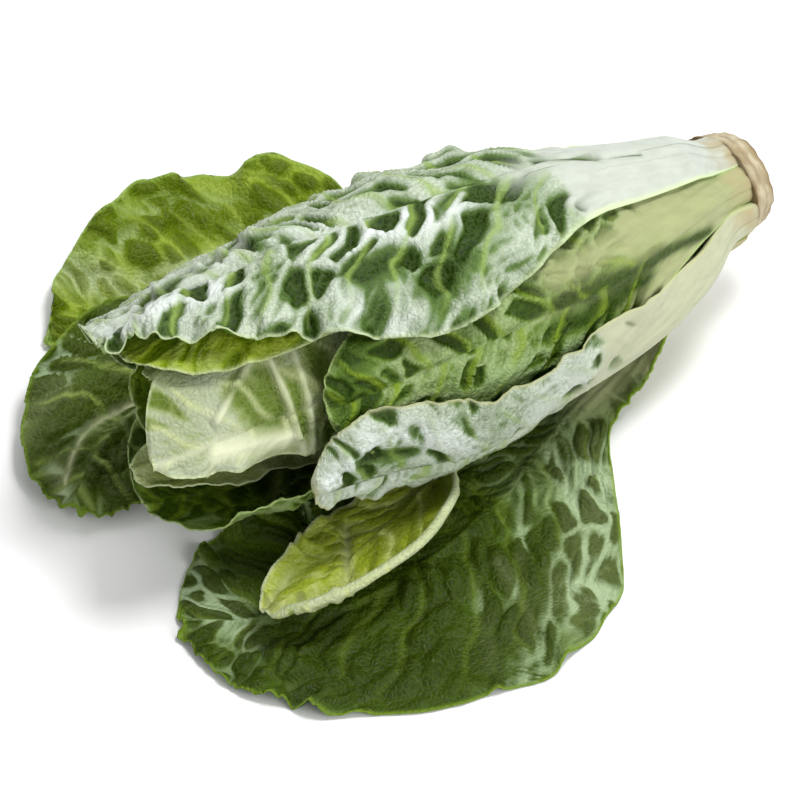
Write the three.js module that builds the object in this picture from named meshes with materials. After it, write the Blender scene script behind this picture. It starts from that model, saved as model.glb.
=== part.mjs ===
// A romaine lettuce head lying on its side: a short cut stem, fifteen leaves nested round the head's axis,
// and five outer leaves that have come away from it and lie open on the surface below or hang in front.
//
// Millimetres, +Z up. The cut end of the stem points along +X and the leaf tips along -X, and +Y is behind
// the head. The origin is on the surface that the head lies on, under the middle of the head's box.
//
// Every leaf is a thin closed shell. Its middle surface is a function of two parameters: u runs along the
// midrib from base to tip, and v runs across it from one margin (-1) to the other (+1).

import * as THREE from "three";

// Driving dimensions of the head.
const STEM_HEIGHT = 46; // of the stem's centre above the surface
const BODY_HEIGHT = 62; // of the head's axis where the head is fullest
const RISE_LENGTH = 150; // over which the axis climbs from one height to the other
const STEM_BEND = 11.5; // how far the stem turns aside, towards +Y
const BEND_LENGTH = 90;
const STEM_RADIUS = 19.5;
const CUT_FACE = -3; // distances along the axis are counted from 3 mm inside the cut face
const COLLAR_END = 8.2; // where the bare end of the stem stops, below the lowest leaf
const COLLAR_FLARE = 1.5; // how much wider the collar grows by there
const CUT_BEVEL = [[0.2, -2.5], [1.6, -0.6], [4, 0]]; // from the cut face, and from the stem's radius
const BODY_RADIUS = 49.5;
const FULLEST = 150; // distance along the axis to the fullest place
const SWELL_POWER = 1.12; // above 1 keeps the head slim near the stem
const TIP_RADIUS_LOSS = 10;
const TIP_TAPER_LENGTH = 110;

// Leaves.
const BLADE = 0.9; // thickness of a leaf between its ribs
const TIP_HALF_WIDTH = 2.5;
const OUTER_RIB = 1.2; // scale of the rib of a leaf in the first ring; see ribSize
const HEART_RIB = 0.4;
const BASE_HUG = 19.5; // degrees that half a leaf base spans round the stem, unless the leaf says so
const HEART_HUG = 22;
const SWELL = [0.1, 0.64]; // where along a leaf the narrow base widens out, unless the leaf says so
const WIDEST = 0.62; // where its tip begins to close
const BLUNTNESS = 2.6; // power of the closing: a higher one keeps the leaf broad for longer
const RIB_FADE = [0.22, 0.62]; // where along a leaf its rib thins out
const RIB_HALF_WIDTH = { tip: 2.2, base: 11.5 };
const RIB_HEIGHT = { tip: 0.7, base: 3.3 };
const LIFT_RISE = [0.2, 0.6]; // where along a leaf its lift sets in
const FLARE_RISE = [0.6, 1];
const WAVE_RISE = [0.35, 0.6];
const WAVE_RATE = 24; // radians of a margin's wave along the whole leaf
const LAYER_PITCH_NEAR = 1.9; // radial distance from one nested leaf to the next, near the stem
const LAYER_PITCH_FAR = 2.5; // and where the head is fullest
const PITCH_CHANGE = [80, 150];
const SETTLE_LENGTH = 25; // over which a nested leaf moves out from the stem to its layer

// The leaf bases sit in rings on a stepped stem: each ring's distance along the axis and its radius.
const RINGS = [
  { start: 9, radius: 18 },
  { start: 17, radius: 13 },
  { start: 28, radius: 9 },
  { start: 42, radius: 6 },
  { start: 58, radius: 3.8 },
];
const CORE_CLEARANCE = 1.1; // from the middle of a leaf base in to the stem
const SHOULDER_GAP = 0.4; // along the stem, from a step to the leaf base that stands on it
const CORE_END = 66;
const BASE_SLOPE = 0.14; // how steeply a spread leaf's base leaves the stem
const BASE_LENGTH = 12; // of the part that still leans on the stem
const BASE_WIDENING = 2.1; // how much wider a spread leaf's stalk grows than its base
const STALK_END = 0.2; // where along the leaf it is that wide

// What every leaf may say: ring is the ring that its base sits in. angle is where its midrib stands round
// the axis, in degrees: 0 is up and 90 is the front (-Y). less and more are the half widths on the sides
// of lesser and greater angle, and blunt is the power of the closing on those two sides. hug, rib, swell
// and widest are as above, and scallop is how deeply the margins are lobed, as a share of the width.
//
// Nested leaves. layer counts inwards from the head's outer radius. reach is the tip's distance along the
// axis. drift turns the midrib by its first number of degrees between its other two, which are places
// along the leaf. lift raises the side of greater angle off the head, and flare moves the whole tip out.
const NESTED = [
  {
    name: "top_leaf", ring: 0, layer: 0, angle: -8, drift: [-20, 0.4, 1], hug: 31.5,
    reach: 262, more: 52, less: 58, swell: [0.26, 0.58], widest: 0.6, blunt: [2.6, 1], lift: 3,
  },
  {
    name: "back_leaf", ring: 0, layer: 1.15, angle: -78, drift: [10, 0, 0.5], hug: 27.5,
    reach: 248, more: 48, less: 50, rib: 0.9,
  },
  {
    name: "lower_leaf", ring: 1, layer: 2.4, angle: 158, drift: [22, 0.45, 1],
    reach: 255, more: 54, less: 47, flare: 1, rib: 0.6,
  },
  { name: "upper_back_leaf", ring: 1, layer: 2.6, angle: -20, reach: 256, more: 36, less: 56, rib: 0.5 },
  {
    name: "front_leaf", ring: 0, layer: 1.6, angle: 45.5, drift: [16, 0.1, 0.5], hug: 20.5,
    reach: 202, more: 38, less: 32, rib: 0.8,
  },
  {
    name: "lower_back_leaf", ring: 1, layer: 3.8, angle: -106, drift: [-16, 0, 0.5],
    reach: 242, more: 50, less: 50, rib: 0.5,
  },
];
const GOLDEN_ANGLE = 137.508;
const HEART_COUNT = 9;
const HEARTS_PER_RING = 3;
const HEART_FIRST_RING = 2;
const HEART_FIRST_ANGLE = 60;
const HEART_FIRST_LAYER = 5.2;
const HEART_LAYER_STEP = 1.35;
const HEART_REACH = { first: 264, step: -8 };
const HEART_MORE = { first: 19, step: -0.4 };
const HEART_LESS = { first: 48, rest: 33, step: -2 };
const HEART_BLUNT = [2.6, 1.5];

// Spread leaves have come away from the head. Each knot is [distance along the axis, y, height, angle
// that the outer face looks in, turn on the lesser side, turn on the greater side]: the turns, in degrees,
// are how far each half of the blade curls inwards from rib to margin. wave is how high the margins wave.
const SPREAD = [
  {
    name: "fallen_front_leaf", ring: 0, angle: 90, hug: 20.5, less: 31, more: 17,
    swell: [0.1, 0.44], widest: 0.66, blunt: [10, 1.3],
    knots: [
      [35, -25, 48.5, 98, 26, 22],
      [60, -33.4, 42.4, 112, 34, 24],
      [110, -44.6, 41, 114, 34, 24],
      [148, -49.4, 42, 114, 32, 24],
      [180, -49, 50, 100, 30, 24],
      [214, -49.5, 57, 92, 30, 24],
    ],
  },
  {
    name: "curled_front_leaf", ring: 1, angle: 112, less: 30, more: 26, swell: [0.5, 0.8], rib: 0.3,
    knots: [
      [60, -29, 42.5, 112, 10, 10],
      [110, -36.4, 37, 122, 10, 10],
      [145, -29.5, 16.5, 146, 10, 10],
      [172, -43, 16.5, 160, 34, 14],
      [210, -55, 17.5, 168, 46, 20],
      [240, -61, 19, 170, 46, 24],
    ],
  },
  {
    name: "spread_front_leaf", ring: 0, angle: 134, hug: 20, less: 69, more: 60, swell: [0.28, 0.62],
    widest: 0.55, blunt: [1.5, 5], wave: [3, 0], scallop: 0.04,
    knots: [
      [50, -14, 15, 150, 20, 20],
      [88, -26, 8, 168, 4, 10],
      [140, -49, 5, 180, -6, 8],
      [200, -61, 4, 180, -4, 4],
      [235, -50, 4, 180, -4, 4],
      [262, -38, 5, 180, 6, 4],
    ],
  },
  {
    name: "spread_left_leaf", ring: 0, angle: 180, hug: 21, less: 50, more: 46,
    wave: [1.5, 3], scallop: 0.04,
    knots: [
      [42, 9, 17, 180, 6, 6],
      [105, 22, 11, 182, 4, 12],
      [175, 46, 11, 184, 4, 10],
      [220, 55, 11, 184, 6, 10],
      [248, 46, 10, 184, 8, 10],
      [270, 28, 8, 182, 10, 14],
    ],
  },
  {
    name: "spread_back_leaf", ring: 0, angle: 228, hug: 21.5, less: 40, more: 64, swell: [0.38, 0.6],
    wave: [0, 3], scallop: 0.04,
    knots: [
      [50, 36, 18, 220, 20, 20],
      [82, 50, 8, 196, 4, 16],
      [150, 76, 4, 183, 0, 14],
      [195, 90, 4, 183, 0, 16],
      [236, 102, 5, 183, 6, 14],
    ],
  },
];

// Rows and columns of each kind of leaf's grid, and how much closer together they stand at the tip and rib.
const SPREAD_GRID = [20, 12];
const NESTED_GRID = [12, 10];
const HEART_GRID = [10, 8];
const ROW_CROWDING = 1.35;
const COLUMN_CROWDING = 1.4;
const STEM_SIDES = 36;

const radians = THREE.MathUtils.degToRad;
const { clamp, lerp, smoothstep } = THREE.MathUtils;

// ---- The head's axis and its layers ----

// The axis at distance s. It climbs, and turns aside near the stem, along parabolas.
function axisPoint(s) {
  const rise = 1 - Math.min(s / RISE_LENGTH, 1);
  const bend = 1 - Math.min(s / BEND_LENGTH, 1);
  return new THREE.Vector3(
    -s,
    STEM_BEND * bend ** 2,
    lerp(BODY_HEIGHT, STEM_HEIGHT, rise ** 2),
  );
}

// The place at distance s, angle round the axis (degrees) and radius, in the plane square to the axis.
function aroundAxis(s, angle, radius) {
  const step = 0.5;
  const along = axisPoint(s + step).sub(axisPoint(s - step)).normalize();
  const up = new THREE.Vector3(0, 0, 1).projectOnPlane(along).normalize();
  const front = new THREE.Vector3().crossVectors(up, along);
  const turn = radians(angle);
  return axisPoint(s)
    .addScaledVector(up, radius * Math.cos(turn))
    .addScaledVector(front, radius * Math.sin(turn));
}

// The head's outer radius: a quarter sine wave out to the fullest place, then a parabola in to the tips.
function bodyRadius(s) {
  const swell = Math.sin((Math.PI / 2) * clamp(s / FULLEST, 0, 1) ** SWELL_POWER);
  const taper = Math.max(0, (s - FULLEST) / TIP_TAPER_LENGTH);
  return lerp(STEM_RADIUS + 1, BODY_RADIUS, swell) - TIP_RADIUS_LOSS * taper ** 2;
}

// The radius of a nested leaf's middle surface, for the layer counted from the outside.
function layerRadius(ring, layer, s) {
  const pitch = lerp(LAYER_PITCH_NEAR, LAYER_PITCH_FAR, smoothstep(s, ...PITCH_CHANGE));
  const settled = bodyRadius(s) - layer * pitch;
  const settling = smoothstep(s, ring.start, ring.start + SETTLE_LENGTH);
  return lerp(ring.radius, settled, settling);
}

// ---- The outline and thickness that all leaves share ----

// Half width of a leaf at u: a narrow base, an S-shaped swell to the full width, and a blunt round tip.
function halfWidth(leaf, v, u, base) {
  const full = v > 0 ? leaf.more : leaf.less;
  const swell = lerp(base, full, smoothstep(u, ...(leaf.swell ?? SWELL)));
  const widest = leaf.widest ?? WIDEST;
  const bluntness = leaf.blunt?.[v > 0 ? 1 : 0] ?? BLUNTNESS;
  const closing = Math.max(0, (u - widest) / (1 - widest)) ** bluntness;
  const scallop = 1 + (leaf.scallop ?? 0) * Math.sin(WAVE_RATE * u + 2 * Math.sign(v));
  return Math.max(TIP_HALF_WIDTH, swell * scallop * Math.sqrt(1 - Math.min(1, closing)));
}

// Half width and height of the rib: broad and thick along the base, fading out towards the tip.
function ribSize(scale, u) {
  const fade = 1 - smoothstep(u, ...RIB_FADE);
  return {
    halfWidth: scale * lerp(RIB_HALF_WIDTH.tip, RIB_HALF_WIDTH.base, fade) * (1 - 0.5 * u),
    height: scale * lerp(RIB_HEIGHT.tip, RIB_HEIGHT.base, fade),
  };
}

// ---- Middle surfaces ----

// A nested leaf wraps round the axis at its layer's radius.
function nestedSurface(leaf) {
  const ring = RINGS[leaf.ring];
  const [drift, driftFrom, driftTo] = leaf.drift ?? [0, 0, 1];
  return (u, v) => {
    const s = lerp(ring.start, leaf.reach, u);
    const radius = layerRadius(ring, leaf.layer, s);
    const lift = (leaf.lift ?? 0) * Math.max(0, v) ** 2 * smoothstep(u, ...LIFT_RISE);
    const flare = (leaf.flare ?? 0) * smoothstep(u, ...FLARE_RISE);
    const base = radians(leaf.hug) * radius;
    const turn = THREE.MathUtils.radToDeg((v * halfWidth(leaf, v, u, base)) / radius);
    const midrib = leaf.angle + drift * smoothstep(u, driftFrom, driftTo);
    return aroundAxis(s, midrib + turn, radius + lift + flare);
  };
}

// Smooth interpolation at distance s through rows of numbers whose first number is the distance. Each
// span is a cubic, and the slope at a row is that of the line between its two neighbours.
function throughRows(rows, s) {
  const last = rows.length - 1;
  const after = rows.findIndex((row) => row[0] > s);
  const n = after < 0 ? last - 1 : Math.max(after - 1, 0);
  const slope = (n, c) => {
    const before = rows[Math.max(n - 1, 0)];
    const after = rows[Math.min(n + 1, last)];
    return (after[c] - before[c]) / (after[0] - before[0]);
  };
  const [near, far] = [rows[n], rows[n + 1]];
  const span = far[0] - near[0];
  const t = (s - near[0]) / span;
  return near.map((start, c) => {
    const rise = far[c] - start;
    const slopeNear = slope(n, c) * span;
    const slopeFar = slope(n + 1, c) * span;
    return (
      start +
      slopeNear * t +
      (3 * rise - 2 * slopeNear - slopeFar) * t ** 2 +
      (slopeNear + slopeFar - 2 * rise) * t ** 3
    );
  });
}

// A spread leaf follows its knots. Each half of the blade is an arc that leaves the rib square to it.
function spreadSurface(leaf) {
  const { start, radius } = RINGS[leaf.ring];
  const atStem = (along) => {
    const point = aroundAxis(start + along, leaf.angle, radius + BASE_SLOPE * along);
    return [-point.x, point.y, point.z, leaf.angle, leaf.hug, leaf.hug];
  };
  const rows = [atStem(0), atStem(BASE_LENGTH), ...leaf.knots];
  const first = rows[0][0];
  const reach = rows.at(-1)[0];
  const rib = (s) => {
    const [distance, y, z] = throughRows(rows, s);
    return new THREE.Vector3(-distance, y, z);
  };
  return (u, v) => {
    const s = lerp(first, reach, u);
    const [, , , facing, lessTurn, moreTurn] = throughRows(rows, s);
    const along = rib(s + 0.5).sub(rib(s - 0.5)).normalize();
    const outward = new THREE.Vector3(0, -Math.sin(radians(facing)), Math.cos(radians(facing)))
      .projectOnPlane(along)
      .normalize();
    const aside = new THREE.Vector3().crossVectors(outward, along);
    const stalk = radius * lerp(1, BASE_WIDENING, clamp(u / STALK_END, 0, 1));
    const width = halfWidth(leaf, v, u, radians(leaf.hug) * stalk);
    const turn = radians(v > 0 ? moreTurn : lessTurn) || 1e-6;
    const sweep = turn * Math.abs(v);
    const [lessWave, moreWave] = leaf.wave ?? [0, 0];
    const wave = (v > 0 ? moreWave : lessWave) * v ** 2 * smoothstep(u, ...WAVE_RISE);
    const raise = (width / turn) * (1 - Math.cos(sweep)) + wave * (1 + Math.sin(WAVE_RATE * u));
    return rib(s)
      .addScaledVector(aside, Math.sign(v) * (width / turn) * Math.sin(sweep))
      .addScaledVector(outward, -raise);
  };
}

// ---- Solids ----

// A closed shell on a grid of the surface: an outer skin that carries the rib, an inner skin, and the rim.
function leafGeometry(surface, leaf, [rows, columns]) {
  const stride = columns + 1;
  const outer = [];
  const inner = [];
  for (let i = 0; i <= rows; i++) {
    const u = 1 - (1 - i / rows) ** ROW_CROWDING;
    for (let j = 0; j <= columns; j++) {
      const side = (2 * j) / columns - 1;
      const v = Math.sign(side) * Math.abs(side) ** COLUMN_CROWDING;
      const nudge = 1e-3;
      const alongU = surface(u + nudge, v).sub(surface(u - nudge, v));
      const alongV = surface(u, v + nudge).sub(surface(u, v - nudge));
      const out = alongU.cross(alongV).normalize();
      const point = surface(u, v);
      const rib = ribSize(leaf.rib, u);
      const across = point.distanceTo(surface(u, 0));
      const height = rib.height * Math.exp(-(across ** 2) / (0.5 * rib.halfWidth ** 2));
      outer.push(point.clone().addScaledVector(out, BLADE / 2 + height));
      inner.push(point.addScaledVector(out, -BLADE / 2));
    }
  }
  const count = outer.length;
  const faces = [];
  const quad = (a, b, c, d) => faces.push(a, b, c, a, c, d);
  for (let i = 0; i < rows; i++) {
    for (let j = 0; j < columns; j++) {
      const a = i * stride + j;
      quad(a, a + stride, a + stride + 1, a + 1);
      quad(count + a, count + a + 1, count + a + stride + 1, count + a + stride);
    }
  }
  const rim = [];
  for (let j = 0; j < columns; j++) rim.push(j);
  for (let i = 0; i < rows; i++) rim.push(i * stride + columns);
  for (let j = columns; j > 0; j--) rim.push(rows * stride + j);
  for (let i = rows; i > 0; i--) rim.push(i * stride);
  rim.forEach((a, n) => {
    const b = rim[(n + 1) % rim.length];
    quad(a, b, count + b, count + a);
  });
  return new THREE.BufferGeometry()
    .setFromPoints([...outer, ...inner])
    .setIndex(faces);
}

// The stem: a bare collar with a rounded cut end, then a core that steps in at each ring of leaves.
function stemGeometry(sides) {
  const profile = [
    [CUT_FACE, 0],
    ...CUT_BEVEL.map(([depth, wider]) => [CUT_FACE + depth, STEM_RADIUS + wider]),
    [COLLAR_END, STEM_RADIUS + COLLAR_FLARE],
  ];
  RINGS.forEach(({ start, radius }, n) => {
    const core = radius - CORE_CLEARANCE;
    const end = n + 1 < RINGS.length ? RINGS[n + 1].start : CORE_END;
    profile.push([start - SHOULDER_GAP, core], [end - SHOULDER_GAP, core]);
  });
  profile.push([CORE_END, 0]);
  const points = [];
  const faces = [];
  const ringOf = profile.map(([s, radius]) => {
    const first = points.length;
    const around = radius ? sides : 1;
    for (let k = 0; k < around; k++) points.push(aroundAxis(s, (360 * k) / sides, radius));
    return { first, around };
  });
  for (let n = 0; n + 1 < ringOf.length; n++) {
    const near = ringOf[n];
    const far = ringOf[n + 1];
    for (let k = 0; k < sides; k++) {
      const next = (k + 1) % sides;
      const [a, b] = near.around > 1 ? [near.first + k, near.first + next] : [near.first, near.first];
      const [c, d] = far.around > 1 ? [far.first + k, far.first + next] : [far.first, far.first];
      if (a !== b) faces.push(a, d, b);
      if (c !== d) faces.push(a, c, d);
    }
  }
  return new THREE.BufferGeometry().setFromPoints(points).setIndex(faces);
}

// ---- The head ----

function material(color, roughness = 0.55) {
  return new THREE.MeshStandardMaterial({ color, roughness, metalness: 0 });
}
const FINISH = {
  stem: material(0xb9a981, 0.8),
  outer: material(0x3f6a1c),
  wrapper: material(0x6f9440),
  heart: material(0xbfd07a),
};

function leafMesh(name, surface, leaf, finish, grid) {
  const mesh = new THREE.Mesh(leafGeometry(surface, leaf, grid), finish);
  mesh.name = name;
  return mesh;
}

const head = new THREE.Group();

const stem = new THREE.Mesh(stemGeometry(STEM_SIDES), FINISH.stem);
stem.name = "stem";
head.add(stem);

for (const leaf of SPREAD) {
  const full = { hug: BASE_HUG, rib: OUTER_RIB, ...leaf };
  head.add(leafMesh(leaf.name, spreadSurface(full), full, FINISH.outer, SPREAD_GRID));
}

for (const leaf of NESTED) {
  const full = { hug: BASE_HUG, rib: OUTER_RIB, ...leaf };
  head.add(leafMesh(leaf.name, nestedSurface(full), full, FINISH.wrapper, NESTED_GRID));
}

for (let n = 0; n < HEART_COUNT; n++) {
  const leaf = {
    ring: HEART_FIRST_RING + Math.floor(n / HEARTS_PER_RING),
    layer: HEART_FIRST_LAYER + HEART_LAYER_STEP * n,
    angle: HEART_FIRST_ANGLE + GOLDEN_ANGLE * n,
    reach: HEART_REACH.first + HEART_REACH.step * n,
    more: HEART_MORE.first + HEART_MORE.step * n,
    less: n === 0 ? HEART_LESS.first : HEART_LESS.rest + HEART_LESS.step * n,
    blunt: HEART_BLUNT,
    hug: HEART_HUG,
    rib: HEART_RIB,
  };
  const name = `heart_leaf_${n + 1}`;
  head.add(leafMesh(name, nestedSurface(leaf), leaf, FINISH.heart, HEART_GRID));
}

// The head is set down with the bottom centre of its box at the origin.
const box = new THREE.Box3().setFromObject(head);
const middle = box.getCenter(new THREE.Vector3());
head.position.set(-middle.x, -middle.y, -box.min.z);

export default head;
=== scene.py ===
"""A romaine lettuce head lying on its side, dressed leaf by leaf for rendering.

Shapes are worked out in millimetres on the head's own axis, with the same sizes and formulas as the
solid model, and go into their meshes in metres. Every leaf is a closed thin shell over a grid of two
parameters: u runs along the midrib from base (0) to tip (1), and v runs across it from one margin (-1)
to the other (1).
"""

import logging
import math
from dataclasses import dataclass, field, replace
from enum import Enum

import bpy
import numpy as np
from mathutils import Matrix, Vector


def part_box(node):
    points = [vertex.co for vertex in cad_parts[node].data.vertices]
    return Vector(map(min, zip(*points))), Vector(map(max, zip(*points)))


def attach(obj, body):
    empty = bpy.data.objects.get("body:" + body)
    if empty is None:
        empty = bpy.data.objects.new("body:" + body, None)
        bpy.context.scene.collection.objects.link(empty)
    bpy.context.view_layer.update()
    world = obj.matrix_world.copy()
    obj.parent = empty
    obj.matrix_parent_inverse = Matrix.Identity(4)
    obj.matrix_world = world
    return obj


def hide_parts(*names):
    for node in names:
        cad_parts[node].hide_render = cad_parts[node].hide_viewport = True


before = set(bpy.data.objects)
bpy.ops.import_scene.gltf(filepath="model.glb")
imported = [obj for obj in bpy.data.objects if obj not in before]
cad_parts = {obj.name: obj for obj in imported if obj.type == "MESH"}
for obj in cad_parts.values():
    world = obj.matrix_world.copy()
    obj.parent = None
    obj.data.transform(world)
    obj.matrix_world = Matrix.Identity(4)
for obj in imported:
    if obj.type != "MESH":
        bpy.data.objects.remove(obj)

Array = np.ndarray
Colour = tuple[float, float, float]
Pair = tuple[float, float]
Knot = tuple[float, float, float, float, float, float]
Socket = bpy.types.NodeSocket
Value = Socket | Colour | Vector | float

MM = 0.001

log = logging.getLogger("romaine")


# ---- Numbers on whole arrays ----


def lerp(start: Array | float, end: Array | float, t: Array | float) -> Array:
    """Go from start to end in a straight line as t goes from 0 to 1."""
    return start + (end - start) * t


def nth(series: Pair, n: int) -> float:
    """Give the number that is n steps on in a series told by its first number and its step."""
    return series[0] + series[1] * n


def smoothstep(x: Array | float, low: float, high: float) -> Array:
    """Rise from 0 at low to 1 at high along an S-shaped cubic."""
    t = np.clip((x - low) / (high - low), 0.0, 1.0)
    return t * t * (3.0 - 2.0 * t)


def bell(x: Array, width: Array | float) -> Array:
    """Give 1 where x is 0 and fall away to both sides along a bell curve, to 0.37 at the width."""
    return np.exp(-((x / width) ** 2))


def unit(vectors: Array) -> Array:
    """Scale each vector of the last axis to length 1."""
    return vectors / np.maximum(np.linalg.norm(vectors, axis=-1, keepdims=True), 1e-12)


def ripple(x: Array, y: Array, length: float, seed: int) -> Array:
    """Smooth random height between about -1 and 1: a sum of seven sine waves in random directions.

    Args:
        x: First coordinate in millimetres.
        y: Second coordinate in millimetres.
        length: Typical distance from crest to crest.
        seed: Choice of directions and phases.

    Returns:
        The height at each point.
    """
    count, full_height = 7, 3.2
    waves = np.random.default_rng(seed)
    total = np.zeros(np.broadcast(x, y).shape)
    for _ in range(count):
        heading = waves.uniform(0.0, 2.0 * math.pi)
        rate = 2.0 * math.pi / (length * waves.uniform(0.7, 1.6))
        phase = waves.uniform(0.0, 2.0 * math.pi)
        total += np.sin(rate * (x * math.cos(heading) + y * math.sin(heading)) + phase)
    return total / full_height


def cells(x: Array, y: Array, seed: int) -> tuple[Array, Array]:
    """Divide a plane into rounded cells, one about each point of a shaken unit grid.

    Args:
        x: First coordinate, in cell widths.
        y: Second coordinate, in cell widths.
        seed: Choice of the shaken grid.

    Returns:
        How far each point is from its cell's wall (the second nearest centre's distance less the
        nearest's), and a random number from 0 to 1 that is the same all over a cell.
    """
    side, farthest_shake = 256, 0.42
    shake = np.random.default_rng(seed).uniform(-farthest_shake, farthest_shake, (side, side, 2))
    number = np.random.default_rng(seed + 1).uniform(0.0, 1.0, (side, side))
    column, row = np.floor(x).astype(int), np.floor(y).astype(int)
    nearest = np.full(x.shape, np.inf)
    second = np.full(x.shape, np.inf)
    chosen = np.zeros(x.shape)
    for across in (-1, 0, 1):
        for up in (-1, 0, 1):
            i, j = (column + across) % side, (row + up) % side
            centre_x = column + across + 0.5 + shake[i, j, 0]
            centre_y = row + up + 0.5 + shake[i, j, 1]
            distance = np.hypot(x - centre_x, y - centre_y)
            closer = distance < nearest
            second = np.where(closer, nearest, np.minimum(second, distance))
            chosen = np.where(closer, number[i, j], chosen)
            nearest = np.minimum(nearest, distance)
    return second - nearest, chosen


# ---- The head's axis and its layers, as in the solid model ----


@dataclass(frozen=True)
class Ring:
    """A ring of leaf bases on the stem: its distance along the axis, and its radius."""

    start: float
    radius: float


RINGS = (Ring(9, 18), Ring(17, 13), Ring(28, 9), Ring(42, 6), Ring(58, 3.8))


@dataclass(frozen=True)
class Trunk:
    """The head's axis and the layers of nested leaves round it, in millimetres.

    Distances along the axis start 3 mm in from the cut face. Layers lie pitch_near apart up to near_end,
    and pitch_far apart from far_start on.
    """

    stem_height: float = 46.0
    body_height: float = 62.0
    rise_length: float = 150.0
    stem_bend: float = 11.5
    bend_length: float = 90.0
    stem_radius: float = 19.5
    body_radius: float = 49.5
    fullest: float = 150.0
    swell_power: float = 1.12
    tip_radius_loss: float = 10.0
    tip_taper_length: float = 110.0
    pitch_near: float = 1.9
    pitch_far: float = 2.5
    near_end: float = 80.0
    far_start: float = 150.0
    settle_length: float = 25.0

    def point(self, s: Array) -> Array:
        """Give the axis at distance s: it climbs, and turns aside near the stem, along parabolas.

        Args:
            s: Distances along the axis.

        Returns:
            Points with x, y and z along the last axis.
        """
        rise = 1.0 - np.minimum(s / self.rise_length, 1.0)
        bend = 1.0 - np.minimum(s / self.bend_length, 1.0)
        height = lerp(self.body_height, self.stem_height, rise**2)
        return np.stack([-s, self.stem_bend * bend**2, height], axis=-1)

    def around(self, s: Array, angle: Array, radius: Array) -> Array:
        """Give the place at a distance along the axis, an angle round it and a radius.

        Args:
            s: Distance along the axis.
            angle: Degrees round the axis: 0 is up and 90 is the front.
            radius: Distance out from the axis, in the plane square to it.

        Returns:
            Points with x, y and z along the last axis.
        """
        s, angle, radius = np.broadcast_arrays(*map(np.asarray, (s, angle, radius)))
        s = s.astype(float)
        along = unit(self.point(s + 0.5) - self.point(s - 0.5))
        up = unit(np.array([0.0, 0.0, 1.0]) - along * along[..., 2:3])
        front = np.cross(up, along)
        turn = np.radians(angle)[..., None]
        return self.point(s) + radius[..., None] * (up * np.cos(turn) + front * np.sin(turn))

    def body(self, s: Array) -> Array:
        """Give the outer radius: a quarter sine wave to the fullest place, then a parabola in.

        Args:
            s: Distances along the axis.

        Returns:
            The outermost leaves' radius at each.
        """
        part = np.clip(s / self.fullest, 0.0, 1.0) ** self.swell_power
        taper = np.maximum(0.0, (s - self.fullest) / self.tip_taper_length)
        wide = lerp(self.stem_radius + 1.0, self.body_radius, np.sin(0.5 * math.pi * part))
        return wide - self.tip_radius_loss * taper**2

    def layer(self, ring: Ring, layer: float, s: Array) -> Array:
        """Give a nested leaf's radius: its ring's at the base, then its layer's, counted inwards.

        Args:
            ring: The ring that the leaf stands on.
            layer: Its layer, which need not be whole.
            s: Distances along the axis.

        Returns:
            The leaf's radius at each.
        """
        pitch = lerp(self.pitch_near, self.pitch_far, smoothstep(s, self.near_end, self.far_start))
        settling = smoothstep(s, ring.start, ring.start + self.settle_length)
        return lerp(ring.radius, self.body(s) - layer * pitch, settling)


TRUNK = Trunk()


# ---- Meshes ----


def put(name: str, data: bpy.types.ID) -> bpy.types.Object:
    """Make an object and link it to the scene.

    Args:
        name: Name of the object.
        data: Its mesh, lamp or camera.

    Returns:
        The new object.
    """
    made = bpy.data.objects.new(name, data)
    bpy.context.scene.collection.objects.link(made)
    return made


def make_mesh(
    name: str, points: Array, faces: list[list[int]], marks: dict[str, Array]
) -> bpy.types.Object:
    """Put points and faces into a new smooth object that sits at the origin.

    Args:
        name: Name of the object.
        points: Corner places in millimetres, in the solid model's own frame.
        faces: Corner numbers of each face, turning anticlockwise as seen from outside.
        marks: Numbers for each corner that the finish reads by name.

    Returns:
        The new object, linked to the scene.
    """
    mesh = bpy.data.meshes.new(name)
    mesh.from_pydata(points * MM + frame_shift(), [], faces)
    for mark, values in marks.items():
        layer = mesh.attributes.new(mark, "FLOAT", "POINT")
        layer.data.foreach_set("value", values.astype(np.float32).ravel())
    mesh.polygons.foreach_set("use_smooth", np.ones(len(mesh.polygons), dtype=bool))
    mesh.update()
    return put(name, mesh)


def grid_faces(rows: int, columns: int, first: int, turned: bool) -> Array:
    """Number the four corners of every square of a grid of points.

    Args:
        rows: Squares along u.
        columns: Squares along v.
        first: Number of the grid's first point.
        turned: Whether the squares face the other way.

    Returns:
        One line of four corner numbers for each square.
    """
    corner = first + np.arange(rows)[:, None] * (columns + 1) + np.arange(columns)[None, :]
    corner = corner.ravel()
    beyond = corner + columns + 1
    order = [corner, corner + 1, beyond + 1, beyond] if turned else [corner, beyond, beyond + 1, corner + 1]
    return np.stack(order, axis=-1)


def rim_faces(rows: int, columns: int) -> Array:
    """Close a shell's edge: join the rim of its outer grid to the rim of its inner grid.

    Args:
        rows: Squares along u.
        columns: Squares along v.

    Returns:
        One line of four corner numbers for each square.
    """
    stride = columns + 1
    rim = np.concatenate(
        [
            np.arange(columns),
            np.arange(rows) * stride + columns,
            rows * stride + np.arange(columns, 0, -1),
            np.arange(rows, 0, -1) * stride,
        ]
    )
    after = np.roll(rim, -1)
    inner = (rows + 1) * stride
    return np.stack([rim, after, inner + after, inner + rim], axis=-1)


def frame_shift() -> Array:
    """Find how the solid model was set down: the stem's box in the frame less the stem's own box.

    Returns:
        The shift in metres, worked out once.
    """
    if not _shift:
        low = StemForm().outline(36)[0].min(axis=(0, 1)) * MM
        _shift.append(np.array(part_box("stem")[0]) - low)
    return _shift[0]


_shift: list[Array] = []


# ---- Materials ----


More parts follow.
